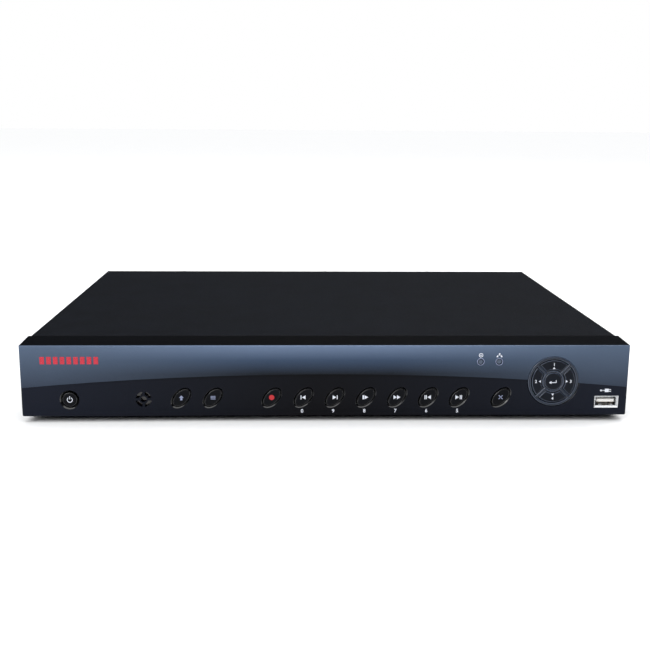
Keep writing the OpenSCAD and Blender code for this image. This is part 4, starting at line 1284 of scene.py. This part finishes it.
@dataclass
class FrontSocket:
    """The flared front socket with its tongue, contacts and spring fingers.

    Attributes:
        tongue_edge: Rounding of the tongue's end.
        contact: Width, length and thickness of a contact, in millimetres.
        contact_in: Middle of a contact behind the tongue's end.
        contact_drop: Middle of a contact below the shell's middle.
        pitch: Distance between contacts.
        fingers: Offsets of the spring fingers from the middle.
        finger_wide: Half the width of a finger.
        finger_thick: Its thickness.
        finger_in: Its start behind the shell's mouth.
        wall: Inner face of the shell's upper wall above its middle.
        bends: Points of a finger in millimetres: along it, and inwards from the wall.
    """

    tongue_edge: float = mm(0.15)
    contact: Triple = (1.0, 5.6, 0.14)
    contact_in: float = mm(3.2)
    contact_drop: float = mm(0.65)
    pitch: float = mm(2.3)
    fingers: Span = (mm(-3.4), mm(3.4))
    finger_wide: float = mm(1.0)
    finger_thick: float = mm(0.15)
    finger_in: float = mm(1.6)
    wall: float = mm(2.55)
    bends: tuple[Span, ...] = ((0.0, 0.0), (1.2, 0.75), (2.4, 0.85), (4.2, 0.05))

    def build(self) -> None:
        """Builds the socket."""
        shell, tongue = Box.of("front_usb_shell"), Box.of("front_usb_tongue")
        end = on_plane(Y_AXIS, tongue.lo.y)
        rounded_copy("front_usb_shell", TINNED_STEEL, "bright_metal")
        rounded_copy("front_usb_tongue", NYLON_WHITE, "white_insulator", self.tongue_edge, end)
        shape = bmesh.new()
        y, z = tongue.lo.y + self.contact_in, shell.mid.z - self.contact_drop
        for i in (-1.5, -0.5, 0.5, 1.5):
            block(shape, Vector((shell.mid.x + i * self.pitch, y, z)), self.contact)
        place_piece(shape, "front_usb_contacts", GOLD_CONTACT, "bright_metal")
        springs = bmesh.new()
        for x in self.fingers:
            for side in (-1, 1):
                self.finger(springs, shell, x, side)
        place_piece(springs, "front_usb_springs", TINNED_STEEL, "bright_metal")

    def finger(self, shape: Shape, shell: Box, x: float, side: int) -> None:
        """Adds one bent spring finger inside the mouth.

        Args:
            shape: The shape that gathers them.
            shell: Place of the shell.
            x: Its middle from the shell's middle.
            side: 1 on the upper wall, -1 on the lower.
        """
        root = Vector((shell.mid.x + x, shell.lo.y + self.finger_in, shell.mid.z + side * self.wall))
        points = [root + Vector((0.0, mm(along), -side * mm(in_by))) for along, in_by in self.bends]
        half = Vector((self.finger_wide, 0.0, 0.0))
        geom = [shape.edges.new([shape.verts.new(points[0] + half * s) for s in (-1, 1)])]
        faces: list[bmesh.types.BMFace] = []
        for before, after in zip(points, points[1:]):
            grown = bmesh.ops.extrude_edge_only(shape, edges=geom)["geom"]
            moved = [g for g in grown if isinstance(g, bmesh.types.BMVert)]
            bmesh.ops.translate(shape, vec=after - before, verts=moved)
            geom = [g for g in grown if isinstance(g, Edge)][:1]
            faces += [g for g in grown if isinstance(g, bmesh.types.BMFace)]
        made = bmesh.ops.solidify(shape, geom=faces, thickness=self.finger_thick)["geom"]
        skins = [g for g in made if isinstance(g, bmesh.types.BMFace)]
        bmesh.ops.recalc_face_normals(shape, faces=skins)


@dataclass
class RearSockets:
    """Everything on the rear panel, with contacts, rings and printed figures.

    Attributes:
        ring: Inner and outer radius of a coloured ring.
        ring_depth: Its ends in front of the sockets' rear end.
        core: Inner and outer radius of a socket's insulator.
        core_depth: Its ends in front of the sockets' rear end.
        figure_high: Height of the printed figures, in millimetres.
        figure_off: How far left of a socket and above it its figure stands.
        shell: Half width of the monitor shell's top and foot and half its height.
        shell_rise: Its middle above the socket's underside.
        shell_corner: Rounding of its corners.
        shell_wall: Its thickness.
        shell_short: How far it stops short of the socket's rear end.
        flange_rise: Where the flange is looked for above the shell.
        jack_offset: Distance of a jack screw from the middle.
        jack: Radius of a jack screw's corners and of its bore.
        jack_step: How far outwards a jack screw's own tip is looked for.
        ways: Number of network contacts, and of terminals.
        contact: Sides of a network contact, in millimetres.
        contact_pitch: Distance between network contacts.
        contact_in: Their middle in front of the socket's rear end.
        contact_rise: Their middle above the socket's middle.
        contact_lean: Their slope, in degrees.
        lens: Sides of an indicator lens, in millimetres.
        lens_edge: Rounding of a lens.
        lens_off: How far a lens stands from the middle and below the top.
        terminal_pitch: Distance between terminals.
        terminal_in: Middle of a terminal's screw in front of the block's rear end.
        terminal_rise: Its height above the block's underside.
        screw: Radius of its foot and of its top, and its thickness.
        slot: Sides of its slot, in millimetres.
        slot_turn: How much more each slot is turned than the last, in degrees.
    """

    ring: Span = (mm(4.22), mm(5.72))
    ring_depth: Span = (mm(8.0), mm(6.6))
    core: Span = (mm(1.66), mm(3.5))
    core_depth: Span = (mm(1.02), mm(0.5))
    figure_high: float = 2.6
    figure_off: Span = (mm(7.6), mm(4.6))
    shell: Triple = (mm(8.95), mm(7.7), mm(4.55))
    shell_rise: float = mm(7.5)
    shell_corner: float = mm(2.0)
    shell_wall: float = mm(0.3)
    shell_short: float = mm(0.25)
    flange_rise: float = mm(0.8)
    jack_offset: float = mm(12.5)
    jack: Span = (mm(2.95), mm(1.45))
    jack_step: float = mm(2.2)
    ways: int = 8
    contact: Triple = (0.4, 7.5, 0.3)
    contact_pitch: float = mm(1.02)
    contact_in: float = mm(5.5)
    contact_rise: float = mm(2.6)
    contact_lean: float = -24.0
    lens: Triple = (2.6, 0.3, 1.2)
    lens_edge: float = mm(0.08)
    lens_off: Span = (mm(5.6), mm(1.25))
    terminal_pitch: float = mm(3.5)
    terminal_in: float = mm(2.3)
    terminal_rise: float = mm(7.0)
    screw: Triple = (mm(1.2), mm(1.1), mm(0.5))
    slot: Triple = (2.0, 0.1, 0.4)
    slot_turn: float = 25.0

    def build(self) -> None:
        """Builds the rear sockets."""
        for node, finish, slot, width in (
            ("video_sockets", NICKEL, "bright_metal", 0.2),
            ("video_insulators", PART_BLACK, "part_black", 0.0),
            ("audio_sockets", NICKEL, "bright_metal", 0.2),
            ("monitor_socket", SOCKET_BLUE, "socket_blue", 0.0),
            ("digital_video_socket", TINNED_STEEL, "bright_metal", 0.0),
            ("network_socket", TINNED_STEEL, "bright_metal", 0.15),
            ("rear_usb_socket", TINNED_STEEL, "bright_metal", 0.0),
            ("terminal_block", TERMINAL_GREEN, "terminal_green", 0.12),
            ("power_socket", PART_BLACK, "part_black", 0.2),
        ):
            end = on_plane(Y_AXIS, Box.of(node).hi.y)
            chosen = every_edge if node == "terminal_block" else end
            rounded_copy(node, finish, slot, mm(width), chosen)
        self.audio_rings()
        self.network_contacts()
        self.monitor_metal()
        self.terminal_screws()
        self.figures()

    def steps(self) -> list[float]:
        """Returns where each way stands from the middle one, in pitches."""
        return [i - (self.ways - 1) / 2 for i in range(self.ways)]

    def tube(self, shape: Shape, centre: Vector, radii: Span, rear: float, depth: Span) -> None:
        """Adds a ring about an axis along Y, spun from its section.

        Args:
            shape: The shape that gathers them.
            centre: A point of the axis.
            radii: Its inner and outer radius.
            rear: The place along Y that its ends are counted from.
            depth: How far in front of that it starts and ends.
        """
        low, high = rear - depth[0], rear - depth[1]
        corners = [(radii[0], low), (radii[1], low), (radii[1], high), (radii[0], high)]
        verts = [shape.verts.new((centre.x + r, y, centre.z)) for r, y in corners]
        edges = [shape.edges.new((verts[i], verts[(i + 1) % 4])) for i in range(4)]
        bmesh.ops.spin(
            shape, geom=[*verts, *edges], cent=(centre.x, 0.0, centre.z), axis=(0.0, 1.0, 0.0),
            angle=2 * math.pi, steps=36, use_merge=True,
        )

    def audio_rings(self) -> None:
        """Adds a coloured ring round each audio socket: white above, red below."""
        rear = Box.of("audio_sockets").hi.y
        spots = self.round_ends("audio_sockets")
        middle = sum(s.z for s in spots) / len(spots)
        for colour, finish, upper in (("white", NYLON_WHITE, True), ("red", RING_RED, False)):
            shape = bmesh.new()
            for spot in spots:
                if (spot.z > middle) == upper:
                    self.tube(shape, spot, self.ring, rear, self.ring_depth)
                    self.tube(shape, spot, self.core, rear, self.core_depth)
            bmesh.ops.recalc_face_normals(shape, faces=shape.faces[:])
            place_piece(shape, "audio_rings_" + colour, finish, "white_insulator")

    def round_ends(self, node: str) -> list[Vector]:
        """Finds the centres of a node's round rear ends.

        Args:
            node: The frame node.

        Returns:
            One point per end, by height and then across.
        """
        shape = merged_copy(node)
        depth = Box.of(node).hi.y
        ends = {v for v in shape.verts if abs(v.co.y - depth) < TOUCH}
        found: list[Vector] = []
        while ends:
            island, queue = set(), [ends.pop()]
            while queue:
                vert = queue.pop()
                island.add(vert)
                joined = {edge.other_vert(vert) for edge in vert.link_edges} & ends
                ends -= joined
                queue += joined
            low = Vector(min(v.co[i] for v in island) for i in range(3))
            high = Vector(max(v.co[i] for v in island) for i in range(3))
            spot = (low + high) / 2
            if all((spot - other).length > mm(1) for other in found):
                found.append(spot)
        shape.free()
        return sorted(found, key=lambda s: (round(s.z, 4), s.x))

    def network_contacts(self) -> None:
        """Adds the slanting contacts and two indicator lenses of the network socket."""
        box = Box.of("network_socket")
        shape = bmesh.new()
        lean = Matrix.Rotation(math.radians(self.contact_lean), 4, "X")
        y, z = box.hi.y - self.contact_in, box.mid.z + self.contact_rise
        for step in self.steps():
            mid = Vector((box.mid.x + step * self.contact_pitch, y, z))
            block(shape, mid, self.contact, lean)
        place_piece(shape, "network_contacts", GOLD_CONTACT, "bright_metal")
        for colour, side, finish in (("green", -1, TERMINAL_GREEN), ("yellow", 1, RING_YELLOW)):
            lens = bmesh.new()
            out, drop = self.lens_off
            block(lens, Vector((box.mid.x + side * out, box.hi.y, box.hi.z - drop)), self.lens)
            soften(lens, self.lens_edge, every_edge)
            place_piece(lens, "network_lens_" + colour, finish, "terminal_green")

    def monitor_metal(self) -> None:
        """Adds the plated skirt of the monitor socket and its two jack screws."""
        box = Box.of("monitor_socket")
        skin = Surface("monitor_socket")
        half, foot, high = self.shell
        middle = box.lo.z + self.shell_rise
        flange = skin.meet(box.mid.x, middle + high + self.flange_rise, Face.REAR).y
        skirt = bmesh.new()
        outline = ((-half, high), (half, high), (foot, -high), (-foot, -high))
        corners = [skirt.verts.new((box.mid.x + x, flange, middle + z)) for x, z in outline]
        skirt.faces.new(corners).normal_update()
        bmesh.ops.bevel(
            skirt, geom=skirt.verts[:], offset=self.shell_corner, offset_type="OFFSET",
            affect="VERTICES", segments=4, profile=0.5, clamp_overlap=True, material=-1,
        )
        skirt.normal_update()
        wall = bmesh.ops.inset_region(
            skirt, faces=skirt.faces[:], thickness=self.shell_wall, depth=0.0,
            use_even_offset=True, use_boundary=True,
        )["faces"]
        bmesh.ops.delete(skirt, geom=[f for f in skirt.faces if f not in wall], context="FACES")
        stretch(skirt, skirt.faces[:], box.hi.y - self.shell_short - flange)
        place_piece(skirt, "monitor_skirt", TINNED_STEEL, "bright_metal")
        jacks = bmesh.new()
        for side in (-1, 1):
            spot = Vector((box.mid.x + side * self.jack_offset, flange, middle))
            tip = skin.meet(spot.x + side * self.jack_step, middle, Face.REAR).y + mm(0.05)
            self.hexagon(jacks, spot, tip - flange)
        place_piece(jacks, "monitor_jack_screws", SCREW_ZINC, "screw_steel")

    def hexagon(self, shape: Shape, centre: Vector, depth: float) -> None:
        """Adds a hexagonal sleeve with a round bore, along Y.

        Args:
            shape: The shape that gathers them.
            centre: The middle of its near end.
            depth: Its length.
        """
        lay = Matrix.Translation(centre) @ Matrix.Rotation(-math.pi / 2, 4, "X")
        outer, bore = (
            bmesh.ops.create_circle(shape, segments=24, radius=r, matrix=lay)["verts"]
            for r in self.jack
        )
        # four of the circle's steps make one flat, so the ones between corners are drawn in
        for i, vert in enumerate(outer):
            angle = math.radians(((i + 2) % 4) * 15 - 30)
            vert.co = centre + (vert.co - centre) * math.cos(math.radians(30)) / math.cos(angle)
        rims = {*outer, *bore}
        edges = [e for e in shape.edges if rims.issuperset(e.verts)]
        stretch(shape, bmesh.ops.bridge_loops(shape, edges=edges)["faces"], depth)

    def terminal_screws(self) -> None:
        """Adds a slotted screw in each terminal."""
        box = Box.of("terminal_block")
        screws, slots = bmesh.new(), bmesh.new()
        y, z = box.hi.y - self.terminal_in, box.lo.z + self.terminal_rise
        foot, top, thick = self.screw
        for i, step in enumerate(self.steps()):
            spot = Vector((box.mid.x + step * self.terminal_pitch, y, z))
            lay = Matrix.Translation(spot) @ Matrix.Rotation(-math.pi / 2, 4, "X")
            bmesh.ops.create_cone(
                screws, cap_ends=True, segments=20, radius1=foot, radius2=top, depth=thick, matrix=lay
            )
            turn = Matrix.Rotation(math.radians(self.slot_turn * i), 4, "Y")
            block(slots, spot + Vector((0.0, thick / 2, 0.0)), self.slot, turn)
        place_piece(screws, "terminal_screws", SCREW_ZINC, "screw_steel")
        # the dark slots stand in for the hollow slots as painted shade
        place_piece(slots, "terminal_screw_slots", RECESS_PAINTED_SHADE, "screw_steel")

    def figures(self) -> None:
        """Prints a figure beside each video input, odd above and even below."""
        panel = Box.of("rear_panel").hi.y
        left, rise = self.figure_off
        spots = self.round_ends("video_sockets")
        columns = sorted({round(s.x, 4) for s in spots}, reverse=True)
        for spot in spots:
            column = columns.index(round(spot.x, 4))
            if not column:
                continue
            number = str(2 * column - (spot.z > spots[0].z + mm(5)))
            page = Print(Vector((spot.x - left, panel, spot.z + rise)), Face.REAR)
            page.digit(0, 0, number, self.figure_high)
            page.finish("video_figure_" + number, INK_WHITE, "powder_coat")


@dataclass
class PowerRocker:
    """The rear rocker and its housing.

    Attributes:
        edge: Rounding of the rocker.
    """

    edge: float = mm(0.3)

    def build(self) -> None:
        """Builds the rocker and its housing."""
        rounded_copy("rocker_housing", PART_BLACK, "part_black")
        rounded_copy("power_rocker", ROCKER_BLACK, "key_black", self.edge, body="rocker_body")


@dataclass
class Fan:
    """The fan behind the rear slots."""

    def build(self) -> None:
        """Builds the fan."""
        rounded_copy("fan_frame", PART_BLACK, "part_black")
        rounded_copy("fan_rotor", PART_BLACK, "part_black", body="rotor_body")


@dataclass
class Inside:
    """Everything behind the skins, which keeps the frame's own meshes.

    Attributes:
        parts: The nodes that share each finish.
    """

    parts: dict[Finish, tuple[str, ...]] = field(
        default_factory=lambda: {
            BOARD_GREEN: ("key_board", "main_board"),
            PART_BLACK: (
                "key_switches", "infrared_receiver", "circuit_chips", "power_coils", "cell_holder",
            ),
            PIPE_CLEAR: ("indicator_leds",),
            SCREW_ZINC: ("board_screws", "drive_screws"),
            CAST_ALUMINIUM: ("heat_sink", "drive_case", "drive_cover", "drive_arm"),
            CAN_SLEEVE: ("power_capacitors",),
            TINNED_STEEL: ("coin_cell",),
            DISC_MIRROR: ("drive_platters",),
            LEAD_GREY: ("key_ribbon",),
            LEAD_RED: ("drive_cable",),
        }
    )

    def build(self) -> None:
        """Dresses the inner nodes."""
        for finish, nodes in self.parts.items():
            dress(nodes, finish)


# ---------------------------------------------------------------- studio


@dataclass
class Studio:
    """Camera, pale floor, soft lights and a white surround.

    Attributes:
        eye: Place of the camera.
        turns: The camera's turn to the right, tilt down and roll, in degrees.
        lens: Focal length in millimetres on a 36 mm sensor.
        sky: Light from straight above on a level surface, in watts a square metre.
        sky_angle: How broad that light is, in degrees.
        aim: What the softboxes point at.
        boxes: Place, size and power in watts of each softbox.
    """

    eye: Triple = (-0.02136, -0.7246, 0.18627)
    turns: Triple = (1.958, 12.192, 0.416)
    lens: float = 53.69
    sky: float = 3.3
    sky_angle: float = 100.0
    aim: Triple = (0.0, 0.0, 0.03)
    boxes: dict[str, tuple[Triple, Span, float]] = field(
        default_factory=lambda: {
            "front_softbox": ((-1.1, -1.3, 0.9), (1.2, 0.8), 20.0),
            "right_softbox": ((1.5, 0.4, 1.2), (0.8, 0.8), 8.0),
            "rear_softbox": ((0.5, 1.3, 2.0), (1.2, 0.8), 14.0),
        }
    )

    def stand(self, name: str, data: bpy.types.ID, place: Matrix = Matrix()) -> Piece:
        """Puts something in the studio.

        Args:
            name: Its name.
            data: The camera, light or mesh.
            place: Where it stands and how it is turned.

        Returns:
            The new object.
        """
        made = bpy.data.objects.new(name, data)
        made.matrix_world = place
        bpy.context.scene.collection.objects.link(made)
        return made

    def camera(self) -> None:
        """Makes the camera."""
        data = bpy.data.cameras.new("studio_camera")
        data.lens = self.lens
        data.sensor_width = 36.0
        data.clip_start, data.clip_end = 0.01, 50.0
        yaw, pitch, roll = (math.radians(a) for a in self.turns)
        turned = (
            Matrix.Rotation(-yaw, 4, "Z")
            @ Matrix.Rotation(math.pi / 2 - pitch, 4, "X")
            @ Matrix.Rotation(roll, 4, "Z")
        )
        place = Matrix.Translation(self.eye) @ turned
        bpy.context.scene.camera = self.stand("studio_camera", data, place)

    def floor(self) -> None:
        """Makes the plain pale floor."""
        shape = bmesh.new()
        bmesh.ops.create_grid(shape, x_segments=1, y_segments=1, size=12.0)
        mesh = bpy.data.meshes.new("studio_floor")
        shape.to_mesh(mesh)
        shape.free()
        paint = Finish(
            "paint_rolled_matte_white_floor", "#f6f7f8", "#fafafa", roughness=0.9, swing=0.02,
            specular=0.1, grain=6.0, bump=0.0,
        )
        mesh.materials.append(paint.material())
        self.stand("studio_floor", mesh)

    def lights(self) -> None:
        """Makes one broad light above, so that the floor is even, and the softboxes."""
        data = bpy.data.lights.new("overhead_sky", "SUN")
        data.energy = self.sky
        data.angle = math.radians(self.sky_angle)
        self.stand("overhead_sky", data)
        for name, (spot, size, power) in self.boxes.items():
            data = bpy.data.lights.new(name, "AREA")
            data.shape = "RECTANGLE"
            data.size, data.size_y = size
            data.energy = power
            way = Vector(self.aim) - Vector(spot)
            turned = way.to_track_quat("-Z", "Y").to_matrix().to_4x4()
            self.stand(name, data, Matrix.Translation(spot) @ turned)

    def surround(self) -> None:
        """Makes a white backdrop that lights the object only softly."""
        world = bpy.data.worlds.new("studio_surround")
        bpy.context.scene.world = world
        world.use_nodes = True
        tree = world.node_tree
        tree.nodes.clear()
        seen = add_node(tree, "LightPath").outputs["Is Camera Ray"]
        dim, white = (
            add_node(tree, "Background", {}, {"Color": linear(code), "Strength": power}).outputs[0]
            for code, power in (("#e8edf5", 0.03), ("#ffffff", 1.0))
        )
        both = add_node(tree, "MixShader", {}, {}, {0: seen, 1: dim, 2: white})
        add_node(tree, "OutputWorld", links={"Surface": both.outputs[0]})

    def build(self) -> None:
        """Builds the studio."""
        view = bpy.context.scene.view_settings
        view.view_transform = "Standard"
        view.look = "None"
        self.camera()
        self.floor()
        self.surround()
        self.lights()


def main() -> None:
    """Builds the studio and then each sub-assembly in turn."""
    logging.basicConfig(level=logging.INFO, format="%(name)s: %(message)s")
    Studio().build()
    Cover().build()
    Screws().build()
    skin = Surface("front_bezel")
    MouldedFront().build(skin)
    KeyRow().build(skin)
    DirectionPad().build()
    FrontSocket().build()
    RearSockets().build()
    PowerRocker().build()
    Fan().build()
    Inside().build()


if __name__ == "__main__":
    main()
